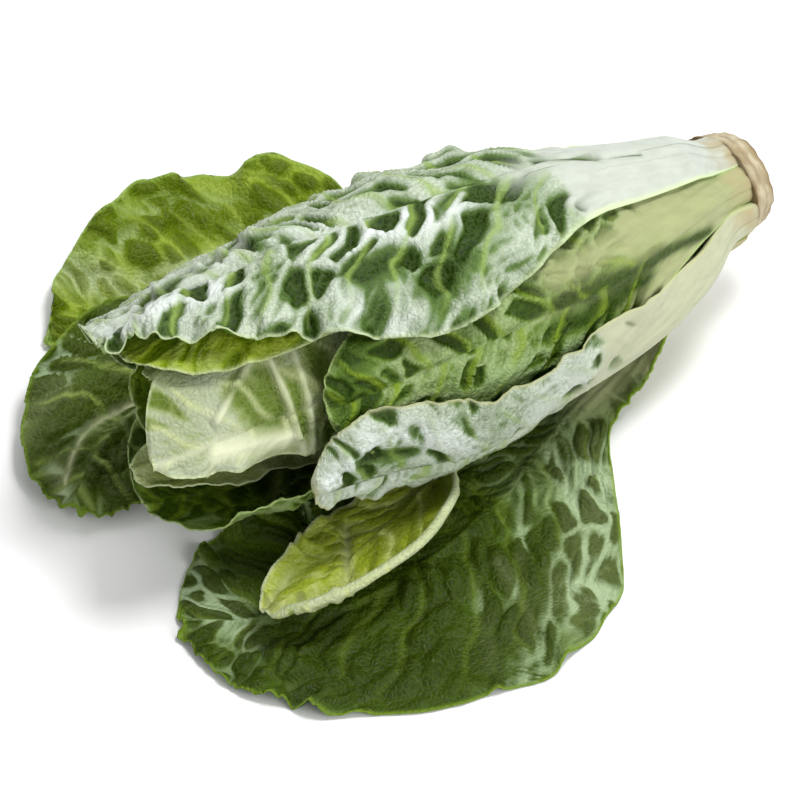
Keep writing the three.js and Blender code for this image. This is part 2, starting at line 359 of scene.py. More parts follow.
class Paint:
    """A short way to write a material's nodes, one line to a node."""

    def __init__(self, name: str) -> None:
        """Start an empty material.

        Args:
            name: Name of the material.
        """
        self.material = bpy.data.materials.new(name)
        self.material.use_nodes = True
        self.tree = self.material.node_tree
        self.tree.nodes.clear()
        self.place = self.tree.nodes.new("ShaderNodeTexCoord").outputs["Object"]

    def node(self, kind: str, inputs: dict[str | int, Value], **options: str | bool) -> bpy.types.Node:
        """Add a node: link its inputs to sockets, or set them to numbers, colours or vectors.

        Args:
            kind: The node's type.
            inputs: What goes into its inputs, by their name or number.
            options: The node's own settings.

        Returns:
            The new node.
        """
        node = self.tree.nodes.new(kind)
        for name, option in options.items():
            setattr(node, name, option)
        for name, value in inputs.items():
            if isinstance(value, Socket):
                self.tree.links.new(value, node.inputs[name])
            else:
                node.inputs[name].default_value = (*value, 1.0) if isinstance(value, tuple) else value
        return node

    def mark(self, name: str) -> Socket:
        """Read the numbers that the mesh holds under a name."""
        return self.node("ShaderNodeAttribute", {}, attribute_name=name).outputs["Fac"]

    def math(self, kind: str, a: Value, b: Value) -> Socket:
        """Work out a sum or a product, held between 0 and 1."""
        return self.node("ShaderNodeMath", {0: a, 1: b}, operation=kind, use_clamp=True).outputs[0]

    def noise(self, scale: float, detail: float, stretch: Colour = (1.0, 1.0, 1.0)) -> Socket:
        """Make cloudy noise.

        Args:
            scale: Clouds to a metre.
            detail: Number of finer layers of noise.
            stretch: How much denser the clouds lie along x, y and z.

        Returns:
            The noise's strength, from 0 to 1.
        """
        place = self.node("ShaderNodeMapping", {"Scale": Vector(stretch), "Vector": self.place}).outputs[0]
        clouds = {"Scale": scale, "Detail": detail, "Vector": place}
        return self.node("ShaderNodeTexNoise", clouds).outputs["Fac"]

    def crackle(self, scale: float) -> Socket:
        """Make a net of small cells.

        Args:
            scale: Cells to a metre.

        Returns:
            0 on the net's lines and up to 1 inside its cells.
        """
        cells = {"Scale": scale, "Vector": self.place}
        net = self.node("ShaderNodeTexVoronoi", cells, feature="DISTANCE_TO_EDGE")
        return self.span(net.outputs["Distance"], 0.0, 0.25, 0.0, 1.0)

    def span(self, value: Socket, low: float, high: float, start: float, end: float) -> Socket:
        """Map the range from low to high on to the range from start to end, and hold it there."""
        ends = {"From Min": low, "From Max": high, "To Min": start, "To Max": end}
        return self.node("ShaderNodeMapRange", {"Value": value, **ends}).outputs["Result"]

    def blend(self, share: Socket, base: Value, over: Value) -> Socket:
        """Lay one colour over another by a share from 0 to 1."""
        return self.node("ShaderNodeMix", {0: share, 6: base, 7: over}, data_type="RGBA").outputs[2]

    def bump(self, height: Socket, depth: float, under: Socket | None = None) -> Socket:
        """Tilt the surface's light by a height.

        Args:
            height: Strength from 0 to 1.
            depth: What a strength of 1 stands for, in metres.
            under: Another bump's output to lay this one on.

        Returns:
            The tilted normal.
        """
        inputs = {"Distance": depth, "Height": height}
        if under is not None:
            inputs["Normal"] = under
        return self.node("ShaderNodeBump", inputs).outputs["Normal"]

    def skin(self, colour: Socket, roughness: Socket, normal: Socket, glint: float) -> Socket:
        """Make a plain surface.

        Args:
            colour: Its colour.
            roughness: How matt it is, from 0 to 1.
            normal: Its normal, tilted by a bump.
            glint: Strength of what it mirrors.

        Returns:
            The surface's shader.
        """
        inputs = {"Base Color": colour, "Roughness": roughness, "Normal": normal}
        inputs["Specular IOR Level"] = glint
        return self.node("ShaderNodeBsdfPrincipled", inputs).outputs[0]

    def finish(self, surface: Socket) -> bpy.types.Material:
        """Send a shader to the material's output, and give the material."""
        self.node("ShaderNodeOutputMaterial", {"Surface": surface})
        return self.material


def darker(colour: Colour, share: float) -> Colour:
    """Give a colour that is a share as bright."""
    return tuple(share * part for part in colour)


@dataclass(frozen=True)
class LeafFinish:
    """The colours and gloss of one kind of leaf.

    The hollows' colour is the blade's green darkened as painted shade, the crests' colour is partly pale
    ridge and partly painted highlight, and the tint of raised patches is painted highlight. clouds,
    patches, veinlets, grains and fibres are how many of each lie in a metre; the patches are those of
    painted highlight. depths are those of the veinlets, the grain and the fibres, in metres. lets_through
    holds the shares of light that come through the blade and through the rib.
    """

    name: str
    slot: str
    outer: Colour
    shaded_pit: Colour
    pale_crest_and_highlight: Colour
    inner: Colour
    inner_crest: Colour
    rib: Colour
    margin: Colour
    gloss: float
    through: Colour
    painted_highlight: Colour = (0.34, 0.47, 0.20)
    butt: Colour = (0.42, 0.35, 0.19)
    clouds: float = 38.0
    patches: float = 17.0
    veinlets: float = 420.0
    grains: float = 900.0
    fibres: float = 300.0
    depths: tuple[float, float, float] = (0.00024, 0.00022, 0.0003)
    glint: float = 0.2
    lets_through: Pair = (0.22, 0.08)

    def blade(self, p: Paint, cloud: Socket, veinlets: Socket, grain: Socket) -> Socket:
        """Colour the blade by its height, apart on the two sides: hollows take painted shade, crests a pale
        colour with painted highlight.

        The net of veinlets, the grain, the pale side veins and the patches of painted highlight lie over
        it.

        Args:
            p: The material's nodes.
            cloud: Clouds that vary the height.
            veinlets: The net of veinlets, 0 on its lines.
            grain: Fine grain.

        Returns:
            The blade's colour.
        """
        # Half as bright as the inner colour: painted shade on the inner side's low cells, and darker fine
        # grain.
        shade_and_grain = darker(self.inner, 0.5)
        # Where the painted highlight lies: the mark, plus random patches.
        painted_highlight = p.math("ADD", p.mark("painted_highlight"), p.span(p.noise(self.patches, 2.0), 0.5, 0.66, 0.0, 0.5))
        raised = p.math("ADD", p.mark("height"), p.span(cloud, 0.35, 0.7, -0.16, 0.16))
        # Outer side: the hollows take painted shade, and the crests a pale colour with painted highlight.
        outer = p.blend(p.span(raised, 0.15, 0.55, 0.0, 1.0), self.shaded_pit, self.outer)
        outer = p.blend(p.span(raised, 0.55, 0.95, 0.0, 1.0), outer, self.pale_crest_and_highlight)
        inner = p.blend(p.span(raised, 0.1, 0.7, 0.0, 1.0), shade_and_grain, self.inner)
        high = p.span(p.math("MULTIPLY", raised, raised), 0.4, 1.0, 0.0, 0.75)
        inner = p.blend(high, inner, self.inner_crest)
        blade = p.blend(p.mark("outer"), inner, outer)
        blade = p.blend(p.span(veinlets, 0.0, 1.0, 0.12, 0.0), blade, self.inner_crest)
        blade = p.blend(p.span(grain, 0.4, 0.62, 0.0, 0.28), blade, shade_and_grain)
        vein = p.math("MULTIPLY", p.mark("vein"), p.span(cloud, 0.3, 0.7, 0.55, 1.0))
        blade = p.blend(vein, blade, self.inner_crest)
        # Lay the painted highlight on the raised parts of the blade.
        return p.blend(p.math("MULTIPLY", painted_highlight, p.span(raised, 0.45, 0.9, 0.0, 1.0)), blade, self.painted_highlight)

    def build(self) -> bpy.types.Material:
        """Make the leaf material.

        The white rib and base with its tan butt, and the bright margin, lie over the blade's colour. A
        share of the light comes through the leaf.

        Returns:
            The new material.
        """
        p = Paint(self.name)
        cloud = p.noise(self.clouds, 4.0)
        veinlets = p.crackle(self.veinlets)
        grain = p.noise(self.grains, 3.0)
        fibres = p.noise(self.fibres, 4.0, (0.12, 1.0, 1.0))
        rib = p.blend(p.span(fibres, 0.35, 0.65, 0.0, 0.5), self.rib, darker(self.rib, 0.8))
        base = p.blend(p.mark("white"), self.blade(p, cloud, veinlets, grain), rib)
        tan = p.math("MULTIPLY", p.mark("butt"), p.span(fibres, 0.3, 0.6, 0.25, 0.9))
        base = p.blend(tan, base, self.butt)
        base = p.blend(p.mark("margin"), base, self.margin)
        tilt = p.math("MULTIPLY", veinlets, p.span(p.mark("white"), 0.0, 0.6, 1.0, 0.0))
        tilt = p.bump(tilt, self.depths[0])
        tilt = p.bump(grain, self.depths[1], tilt)
        tilt = p.bump(fibres, self.depths[2], tilt)
        skin = p.skin(base, p.span(grain, 0.3, 0.7, self.gloss, self.gloss + 0.16), tilt, self.glint)
        glow = p.blend(p.mark("white"), self.through, self.rib)
        lit = p.node("ShaderNodeBsdfTranslucent", {"Color": glow}).outputs[0]
        share = p.span(p.mark("white"), 0.0, 1.0, *self.lets_through)
        return p.finish(p.node("ShaderNodeMixShader", {0: share, 1: skin, 2: lit}).outputs[0])


@dataclass(frozen=True)
class StemFinish:
    """The colours of the cut stem, and how deep its fibres and clouds are, in metres."""

    flesh: Colour = (0.29, 0.22, 0.11)
    skin: Colour = (0.48, 0.42, 0.28)
    scar: Colour = (0.13, 0.075, 0.02)
    core: Colour = (0.72, 0.68, 0.5)
    fibre_depth: float = 0.0006
    cloud_depth: float = 0.0008
    glint: float = 0.5

    def build(self) -> bpy.types.Material:
        """Make the stem material: dried tan skin, browned where it was cut and where leaves came off.

        Returns:
            The new material.
        """
        p = Paint("cut_stem")
        fibres = p.noise(260.0, 5.0, (1.0, 0.5, 0.5))
        cloud = p.noise(110.0, 4.0)
        skin = p.blend(p.span(fibres, 0.38, 0.6, 0.0, 0.9), self.skin, self.flesh)
        skin = p.blend(p.mark("face"), skin, self.core)
        brown = p.math("MULTIPLY", p.mark("scar"), p.span(cloud, 0.3, 0.65, 0.45, 1.0))
        skin = p.blend(brown, skin, self.scar)
        tilt = p.bump(fibres, self.fibre_depth, p.bump(cloud, self.cloud_depth))
        return p.finish(p.skin(skin, p.span(cloud, 0.3, 0.7, 0.6, 0.8), tilt, self.glint))


# Per kind: hollows' colour is painted shade, crests' colour partly painted highlight, patch tint painted
# highlight.
class Finish(Enum):
    """The kinds of leaf on the head."""

    WRAPPER = LeafFinish(
        "wrapper_leaf",
        "outer_leaf",
        outer=(0.13, 0.22, 0.06),
        shaded_pit=(0.012, 0.034, 0.0),
        pale_crest_and_highlight=(0.64, 0.72, 0.58),
        inner=(0.08, 0.18, 0.006),
        inner_crest=(0.32, 0.46, 0.10),
        rib=(0.54, 0.58, 0.51),
        margin=(0.62, 0.74, 0.42),
        gloss=0.36,
        through=(0.22, 0.42, 0.04),
        painted_highlight=(0.84, 0.90, 0.86),
    )
    FALLEN = replace(WRAPPER, name="fallen_leaf", rib=(0.50, 0.52, 0.35), margin=(0.50, 0.52, 0.28))
    FRONT = LeafFinish(
        "front_leaf",
        "outer_leaf",
        outer=(0.13, 0.23, 0.03),
        shaded_pit=(0.025, 0.060, 0.002),
        pale_crest_and_highlight=(0.37, 0.48, 0.21),
        inner=(0.045, 0.095, 0.0),
        inner_crest=(0.24, 0.36, 0.02),
        rib=(0.38, 0.41, 0.20),
        margin=(0.42, 0.55, 0.20),
        gloss=0.4,
        through=(0.22, 0.42, 0.04),
    )
    SPREAD = LeafFinish(
        "spread_leaf",
        "spread_leaf",
        outer=(0.13, 0.24, 0.04),
        shaded_pit=(0.045, 0.10, 0.01),
        pale_crest_and_highlight=(0.34, 0.48, 0.20),
        inner=(0.056, 0.105, 0.0),
        inner_crest=(0.22, 0.33, 0.03),
        rib=(0.52, 0.55, 0.30),
        margin=(0.20, 0.32, 0.02),
        gloss=0.40,
        through=(0.16, 0.34, 0.02),
        painted_highlight=(0.42, 0.55, 0.32),
    )
    SIDE = replace(
        SPREAD,
        name="side_leaf",
        inner=(0.085, 0.145, 0.0),
        inner_crest=(0.34, 0.46, 0.10),
        rib=(0.66, 0.70, 0.42),
    )
    BRIGHT = LeafFinish(
        "bright_leaf",
        "spread_leaf",
        outer=(0.22, 0.36, 0.08),
        shaded_pit=(0.06, 0.13, 0.015),
        pale_crest_and_highlight=(0.42, 0.56, 0.26),
        inner=(0.20, 0.31, 0.0),
        inner_crest=(0.46, 0.58, 0.08),
        rib=(0.74, 0.76, 0.50),
        margin=(0.34, 0.50, 0.10),
        gloss=0.36,
        through=(0.30, 0.50, 0.04),
        painted_highlight=(0.50, 0.63, 0.28),
    )
    CURLED = LeafFinish(
        "curled_leaf",
        "spread_leaf",
        outer=(0.42, 0.50, 0.22),
        shaded_pit=(0.16, 0.24, 0.03),
        pale_crest_and_highlight=(0.62, 0.68, 0.44),
        inner=(0.44, 0.54, 0.02),
        inner_crest=(0.70, 0.77, 0.26),
        rib=(0.62, 0.64, 0.36),
        margin=(0.60, 0.66, 0.40),
        gloss=0.38,
        through=(0.34, 0.48, 0.06),
        painted_highlight=(0.52, 0.64, 0.12),
    )
    YOUNG = LeafFinish(
        "young_leaf",
        "outer_leaf",
        outer=(0.28, 0.40, 0.0),
        shaded_pit=(0.16, 0.26, 0.0),
        pale_crest_and_highlight=(0.42, 0.52, 0.05),
        inner=(0.24, 0.36, 0.0),
        inner_crest=(0.46, 0.56, 0.08),
        rib=(0.70, 0.72, 0.42),
        margin=(0.62, 0.70, 0.34),
        gloss=0.4,
        through=(0.36, 0.52, 0.03),
    )
    HEART = LeafFinish(
        "heart_leaf",
        "heart_leaf",
        outer=(0.29, 0.37, 0.12),
        shaded_pit=(0.10, 0.17, 0.005),
        pale_crest_and_highlight=(0.46, 0.52, 0.34),
        inner=(0.34, 0.42, 0.09),
        inner_crest=(0.62, 0.68, 0.34),
        rib=(0.76, 0.79, 0.55),
        margin=(0.66, 0.74, 0.42),
        gloss=0.38,
        through=(0.52, 0.66, 0.14),
        painted_highlight=(0.70, 0.74, 0.66),
    )


# ---- Leaves ----


@dataclass(frozen=True)
class Habit:
    """What all the leaves have in common: lengths in millimetres, and shares of a leaf's length or reach.

    A pair that ends in _along or _across is where a thing starts and where it is full. scallops holds the
    rates of the margin's large and small lobes, and scallop_phases where they start on each side.
    rib_width and rib_height are given at the tip and at the base, vein_width at the rib and at the margin.
    rib_flank is a share of the rib's half width and what is added to it. bends, white_edge, strand_bend
    and butt_edge hold the lengths and sizes of ripples. side_step is how far the veins of the two sides
    are out of step, in gaps. wall is where a hollow starts, low_cell how softly the cells with a hollow
    are parted from those without, and shallowest the least share of the depth. net_start and fine_start
    keep the two nets apart. crisp_beyond is how far before and after the white base's edge the relief
    grows. tint_drop and fine_tint turn the nets into the height that the finish reads.
    """

    scallops: Pair = (24.0, 67.0)
    scallop_phases: Pair = (2.0, 5.0)
    small_scallop: float = 0.5
    small_along: Pair = (0.3, 0.5)
    least_width: float = 2.5
    tip_crowding: float = 1.35
    rib_fade: Pair = (0.22, 0.62)
    rib_width: Pair = (2.2, 11.5)
    rib_height: Pair = (0.7, 3.3)
    rib_flank: Pair = (0.62, 1.0)
    bends: tuple[Pair, Pair] = ((34.0, 3.2), (13.0, 1.1))
    side_step: float = 0.35
    vein_width: Pair = (1.5, 0.55)
    vein_across: Pair = (0.72, 0.98)
    vein_along: Pair = (0.2, 0.4)
    wall: float = 0.05
    low_cell: Pair = (0.15, 0.25)
    shallowest: float = 0.55
    net_start: float = 40.0
    fine_cell: float = 0.42
    fine_wall: float = 0.7
    fine_start: float = 90.0
    swell_length: float = 30.0
    ruffle_across: Pair = (0.5, 1.0)
    ruffle_along: Pair = (0.22, 0.45)
    ruffle_phase: float = 2.2
    ruffle_bend: float = 2.0
    white_edge: Pair = (16.0, 0.025)
    white_pit: float = 0.5
    white_soft: float = 0.5
    crisp_beyond: Pair = (0.12, 0.1)
    strand_rate: float = 1.5
    strand_height: float = 0.16
    strand_bend: Pair = (60.0, 0.8)
    tint_drop: float = 0.22
    fine_tint: float = 0.3
    rolled_across: Pair = (-0.85, -0.45)
    butt_length: float = 16.0
    butt_edge: Pair = (9.0, 4.0)
    bright_margin: float = 0.9


HABIT = Habit()


@dataclass(frozen=True)
class Relief:
    """How a leaf's blade is blistered, veined and ruffled, in millimetres.

    stretch is how many times longer the cells are along the side veins, filled is the share of them that
    have no hollow, slope is how far in from its wall a hollow reaches its depth, and vein_tint is how
    much of the pale colour the side veins show. The white base fades from white_from to white_to, and the
    white rib ends at rib_to, as shares of the leaf's length.
    """

    cell: float = 9.0
    stretch: float = 1.0
    depth: float = 1.8
    filled: float = 0.3
    slope: float = 0.5
    fine_depth: float = 0.5
    swell: float = 0.8
    vein_gap: float = 17.0
    vein_height: float = 0.7
    vein_tint: float = 1.0
    vein_slant: float = 0.75
    ruffle: float = 1.6
    ruffle_length: float = 26.0
    white_from: float = 0.30
    white_to: float = 0.42
    rib_to: float = 0.95
    seed: int = 1

    def bend(self, along: Array, across: Array, seed: int) -> Array:
        """Add up the ripples that shift a point, so that no vein or wall is straight."""
        (long, large), (short, small) = HABIT.bends
        return large * ripple(along, across, long, seed) + small * ripple(along, across, short, seed + 1)

    def veins(self, slanted: Array, reach: Array) -> Array:
        """Mark the side veins, which lie where the slanted distance is a whole number of gaps.

        Args:
            slanted: Distance along the leaf, less a share of the distance across it.
            reach: Place from the rib (0) to the margin (1).

        Returns:
            The strength of the veins, from 0 to 1.
        """
        order = slanted / self.vein_gap
        off_vein = np.abs(order - np.round(order)) * self.vein_gap
        vein = bell(off_vein, lerp(*HABIT.vein_width, reach))
        return vein * (1.0 - smoothstep(reach, *HABIT.vein_across))

    def nets(self, x: Array, y: Array) -> tuple[Array, Array]:
        """Work out the net of the cells' walls and the finer net in it.

        Args:
            x: Slanted distance along the leaf.
            y: Bent distance across it.

        Returns:
            The heights of the two nets, from 0 in a hollow to 1 on a wall.
        """
        h, large, small = HABIT, self.cell, HABIT.fine_cell * self.cell
        wall, number = cells(x / large, y / (large * self.stretch) + h.net_start, self.seed + 5)
        hollow = smoothstep(number, self.filled - h.low_cell[0], self.filled + h.low_cell[1])
        hollow = smoothstep(wall, h.wall, self.slope) * hollow * lerp(h.shallowest, 1.0, number)
        fine_wall, _ = cells(x / small, y / (small * self.stretch) + h.fine_start, self.seed + 7)
        return 1.0 - hollow, 1.0 - smoothstep(fine_wall, 0.0, h.fine_wall)


@dataclass(frozen=True)
class Fold:
    """A crease, a hollow or a patch across a leaf, in millimetres along and across it.

    The last three shares are how far it takes the rib's pale colour, the dark pit colour of darker green
    and painted shade, and the whitish painted highlight.
    """

    start: Pair
    end: Pair
    height: float
    width: float
    pale: float = 0.0
    green: float = 0.0
    painted_highlight: float = 0.0

    def strength(self, along: Array, across: Array) -> Array:
        """Give 1 on the crease's line and fall away from it along a bell curve.

        Args:
            along: Distance along the rib.
            across: Signed distance from the rib.

        Returns:
            The strength at each point, from 0 to 1.
        """
        line = np.subtract(self.end, self.start)
        part = (along - self.start[0]) * line[0] + (across - self.start[1]) * line[1]
        part = np.clip(part / float(line @ line), 0.0, 1.0)
        off = np.hypot(along - self.start[0] - part * line[0], across - self.start[1] - part * line[1])
        return bell(off, self.width)


def ridge(start: Pair, end: Pair, height: float, width: float, pale: float = 0.0) -> Fold:
    """Make a crease that takes the rib's pale colour."""
    return Fold(start, end, height, width, pale=pale)


def shaded_pit(start: Pair, end: Pair, height: float, width: float, green: float) -> Fold:
    """Make a hollow that takes the dark pit colour: painted shade, and on the pale base a strip of darker
    green.
    """
    return Fold(start, end, height, width, green=green)


def streak(
    start: Pair, end: Pair, height: float, width: float, painted_highlight: float, pale: float = 0.0
) -> Fold:
    """Make a patch of painted highlight: a whitish tint laid on the raised blade."""
    return Fold(start, end, height, width, pale=pale, painted_highlight=painted_highlight)


@dataclass
class Leaf:
    """A leaf: its outline, its rib and its blade's relief. Subclasses say where its surface lies.

    The half widths less and more belong to the sides of lesser and greater angle round the axis, and so
    do the two powers of blunt. hug is the base's half width in degrees round the stem. A lobe is its place
    along the leaf, its reach and its gain in width, and stands on the lesser side. rolled is the width of
    the lesser side's rolled margin and the degrees that it turns.
    """

    name: str
    ring: int
    angle: float
    less: float
    more: float
    finish: Finish
    hug: float = 19.5
    rib: float = 1.2
    swell: Pair = (0.1, 0.64)
    widest: float = 0.62
    blunt: Pair = (2.6, 2.6)
    scallop: float = 0.0
    lobes: tuple[tuple[float, float, float], ...] = ()
    relief: Relief = field(default_factory=Relief)
    folds: tuple[Fold, ...] = ()
    rolled: Pair = (0.0, 0.0)
    grain: float = 1.5
    blade: float = 0.5

    def half_width(self, v: Array, u: Array, base: Array) -> Array:
        """Give the half width: a narrow base, an S-shaped swell, and a blunt round tip.

        Args:
            v: Place across the leaf, whose sign chooses the side.
            u: Place along the leaf.
            base: Half width at the base.

        Returns:
            The half width in millimetres.
        """
        h, side = HABIT, np.sign(v)
        full = np.where(v > 0, self.more, self.less)
        power = np.where(v > 0, self.blunt[1], self.blunt[0])
        width = lerp(base, full, smoothstep(u, *self.swell))
        closing = np.maximum(0.0, (u - self.widest) / (1.0 - self.widest)) ** power
        wavy = 1.0 + self.scallop * np.sin(h.scallops[0] * u + h.scallop_phases[0] * side)
        small = h.small_scallop * self.scallop * np.sin(h.scallops[1] * u + h.scallop_phases[1] * side)
        wavy = wavy + small * smoothstep(u, *h.small_along)
        for middle, reach, gain in self.lobes:
            wavy = wavy + gain * bell(u - middle, reach) * (v < 0)
        return np.maximum(h.least_width, width * wavy * np.sqrt(1.0 - np.minimum(1.0, closing)))

    def rib_size(self, u: Array) -> tuple[Array, Array]:
        """Give the size of the rib: broad and thick at the base, fading to the tip.

        Args:
            u: Place along the leaf.

        Returns:
            Its half width and its height in millimetres.
        """
        fade = 1.0 - smoothstep(u, *HABIT.rib_fade)
        half = self.rib * lerp(*HABIT.rib_width, fade) * (1.0 - 0.5 * u)
        return half, self.rib * lerp(*HABIT.rib_height, fade)

    def surface(self, u: Array, v: Array) -> Array:
        """Give the middle surface's points. Each kind of leaf has its own."""
        raise NotImplementedError

    def length(self) -> float:
        """Give the leaf's length from base to tip."""
        raise NotImplementedError

    def grid(self) -> tuple[Array, Array]:
        """Lay out the two parameters: rows stand closer together at the round tip.

        Returns:
            u and v at each point of the grid.
        """
        rows = int(self.length() / self.grain)
        columns = int((self.less + self.more) / self.grain)
        u = 1.0 - (1.0 - np.linspace(0.0, 1.0, rows + 1)) ** HABIT.tip_crowding
        return np.meshgrid(u, np.linspace(-1.0, 1.0, columns + 1), indexing="ij")

    def blisters(self, u: Array, v: Array, along: Array, across: Array) -> dict[str, Array]:
        """Work out the relief of the blade, from its base coordinates in millimetres.

        Veins leave the rib at a slant. The blade is divided into cells whose walls stand up: the height
        rises from a cell's middle to its wall. Long ripples shift the veins and walls. Near the rib and
        on the white base the relief gives way to fine strands, and the margin is ruffled by a sine wave.

        Args:
            u: Place along the leaf, from 0 to 1.
            v: Place across it, from -1 to 1.
            along: Distance along the rib.
            across: Signed distance from the rib.

        Returns:
            The marks that the finish reads, and the lift of the surface in millimetres.
        """
        r, h = self.relief, HABIT
        reach = np.abs(v)
        half, _ = self.rib_size(u)
        on_rib = bell(across, h.rib_flank[0] * half + h.rib_flank[1])
        bend_x, bend_y = r.bend(along, across, r.seed), r.bend(along, across, r.seed + 2)
        slanted = along - r.vein_slant * np.abs(across) + bend_x + h.side_step * r.vein_gap * (v > 0)
        vein = r.veins(slanted, reach)
        net, fine = r.nets(slanted, across + bend_y)
        ragged = u + h.white_edge[1] * ripple(along, across, h.white_edge[0], r.seed + 8)
        white = 1.0 - smoothstep(ragged, r.white_from, r.white_to)
        white = smoothstep(white - h.white_pit * (1.0 - net), 0.0, h.white_soft)
        crisp = smoothstep(u, r.white_from - h.crisp_beyond[0], r.white_to + h.crisp_beyond[1])
        crisp = (1.0 - on_rib) * crisp
        ruffle = r.ruffle * smoothstep(reach, *h.ruffle_across) * smoothstep(u, *h.ruffle_along)
        wave = 2.0 * math.pi * (along + h.ruffle_bend * bend_y) / r.ruffle_length
        wave = wave + h.ruffle_phase * np.sign(v)
        sway = h.strand_bend[1] * ripple(along, 0.0 * across, h.strand_bend[0], r.seed + 10)
        strands = h.strand_height * np.cos(across * h.strand_rate + sway)
        lift = crisp * (r.depth * net + r.fine_depth * fine + r.vein_height * vein)
        lift = lift + crisp * r.swell * ripple(along, across, h.swell_length, r.seed + 9)
        lift = lift + ruffle * np.sin(wave) + strands * (1.0 - crisp)
        rolled = (1.0 - smoothstep(v, *h.rolled_across)) * (self.rolled[1] > 0.0)
        to_margin = np.minimum((1.0 - reach) * self.half_width(v, u, half), (1.0 - u) * self.length())
        cut = along + h.butt_edge[1] * ripple(along, across, h.butt_edge[0], r.seed + 11)
        # The finish paints low height as painted shade and high height as pale crest with painted
        # highlight.
        return {
            "lift": lift * (1.0 - rolled),
            "height": np.clip(np.maximum(net - h.tint_drop + h.fine_tint * fine, rolled), 0.0, 1.0),
            "vein": r.vein_tint * vein * smoothstep(u, *h.vein_along),
            "painted_highlight": np.zeros_like(u),
            "butt": 1.0 - smoothstep(cut, 0.0, h.butt_length),
            "white": np.maximum(white, on_rib * (1.0 - smoothstep(u, r.white_to, r.rib_to))),
            "margin": bell(to_margin, h.bright_margin),
        }

    def roll(self, points: Array, u: Array, v: Array) -> Array:
        """Roll the lesser side's margin inwards: its last strip follows a circle's arc.

        Args:
            points: The middle surface's points.
            u: Place along the leaf.
            v: Place across it.

        Returns:
            The new points.
        """
        width, turn = self.rolled
        if not turn:
            return points
        half, _ = self.rib_size(u)
        half = self.half_width(v, u, half)
        strip = np.maximum(0.0, np.minimum(width, 0.5 * half) - (1.0 + v) * half)
        radius = width / math.radians(turn)
        outwards = -unit(np.gradient(points, axis=1))
        sideways = radius * np.sin(strip / radius) - strip
        inwards = radius * (1.0 - np.cos(strip / radius))
        return points + outwards * sideways[..., None] - normals(points) * inwards[..., None]

    def build(self) -> bpy.types.Object:
        """Make the leaf: a closed shell of two skins and a rim, with the rib on the outer skin.

        Returns:
            The leaf's object, which replaces its solid.
        """
        u, v = self.grid()
        points = self.roll(self.surface(u, v), u, v)
        middle = self.surface(u, np.zeros_like(u))
        across = np.sign(v) * np.linalg.norm(points - middle, axis=-1)
        along = u * self.length()
        marks = self.blisters(u, v, along, across)
        half, height = self.rib_size(u)
        for fold in self.folds:
            crease = fold.strength(along, across)
            marks["lift"] += fold.height * crease
            # A fold's dark share lays painted shade and darker green; its last share lays painted
            # highlight.
            marks["white"] = np.maximum(marks["white"], fold.pale * crease) * (1.0 - fold.green * crease)
            marks["height"] *= 1.0 - fold.green * crease
            marks["painted_highlight"] = np.maximum(marks["painted_highlight"], fold.painted_highlight * crease)
        points = points + normals(points) * marks.pop("lift")[..., None]
        bulge = height * bell(across, math.sqrt(0.5) * half)
        points[..., 2] = above_floor(points[..., 2], 0.5 * self.blade + bulge)
        out = normals(points)
        outer = points + out * (0.5 * self.blade + bulge)[..., None]
        inner = points - out * (0.5 * self.blade)
        rows, columns = u.shape[0] - 1, u.shape[1] - 1
        count = u.size
        skins = [grid_faces(rows, columns, 0, False), grid_faces(rows, columns, count, True)]
        faces = np.concatenate([*skins, rim_faces(rows, columns)])
        both = {mark: np.concatenate([values.ravel(), values.ravel()]) for mark, values in marks.items()}
        both["outer"] = np.concatenate([np.ones(count), np.zeros(count)])
        corners = np.concatenate([outer.reshape(-1, 3), inner.reshape(-1, 3)])
        piece = make_mesh(f"{self.name}_blade", corners, faces.tolist(), both)
        piece.data.materials.append(finish_of(self.finish))
        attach(piece, "root")
        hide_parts(self.name)
        log.info("%s: %d faces", self.name, len(faces))
        return piece


def above_floor(z: Array, needed: Array) -> Array:
    """Lift heights smoothly, so that none comes nearer to the floor than its leaf's thickness needs.

    Args:
        z: Heights of the middle surface.
        needed: How far below it the leaf reaches.

    Returns:
        The new heights: the old ones' upper side rounded into the lowest ones along a hyperbola.
    """
    gap, roundness = 0.15, 0.6
    lowest = needed + gap - float(frame_shift()[2]) / MM
    spare = z - lowest
    return lowest + 0.5 * (spare + np.sqrt(spare**2 + roundness))


def normals(points: Array) -> Array:
    """Give a grid's outward normals: the cross product of its steps along u and along v."""
    return unit(np.cross(np.gradient(points, axis=0), np.gradient(points, axis=1)))


_finishes: dict[Finish, bpy.types.Material] = {}


def finish_of(kind: Finish) -> bpy.types.Material:
    """Give the material of a kind of leaf, made the first time that it is asked for.

    Args:
        kind: The kind of leaf.

    Returns:
        Its material.
    """
    if kind not in _finishes:
        _finishes[kind] = kind.value.build()
    return _finishes[kind]


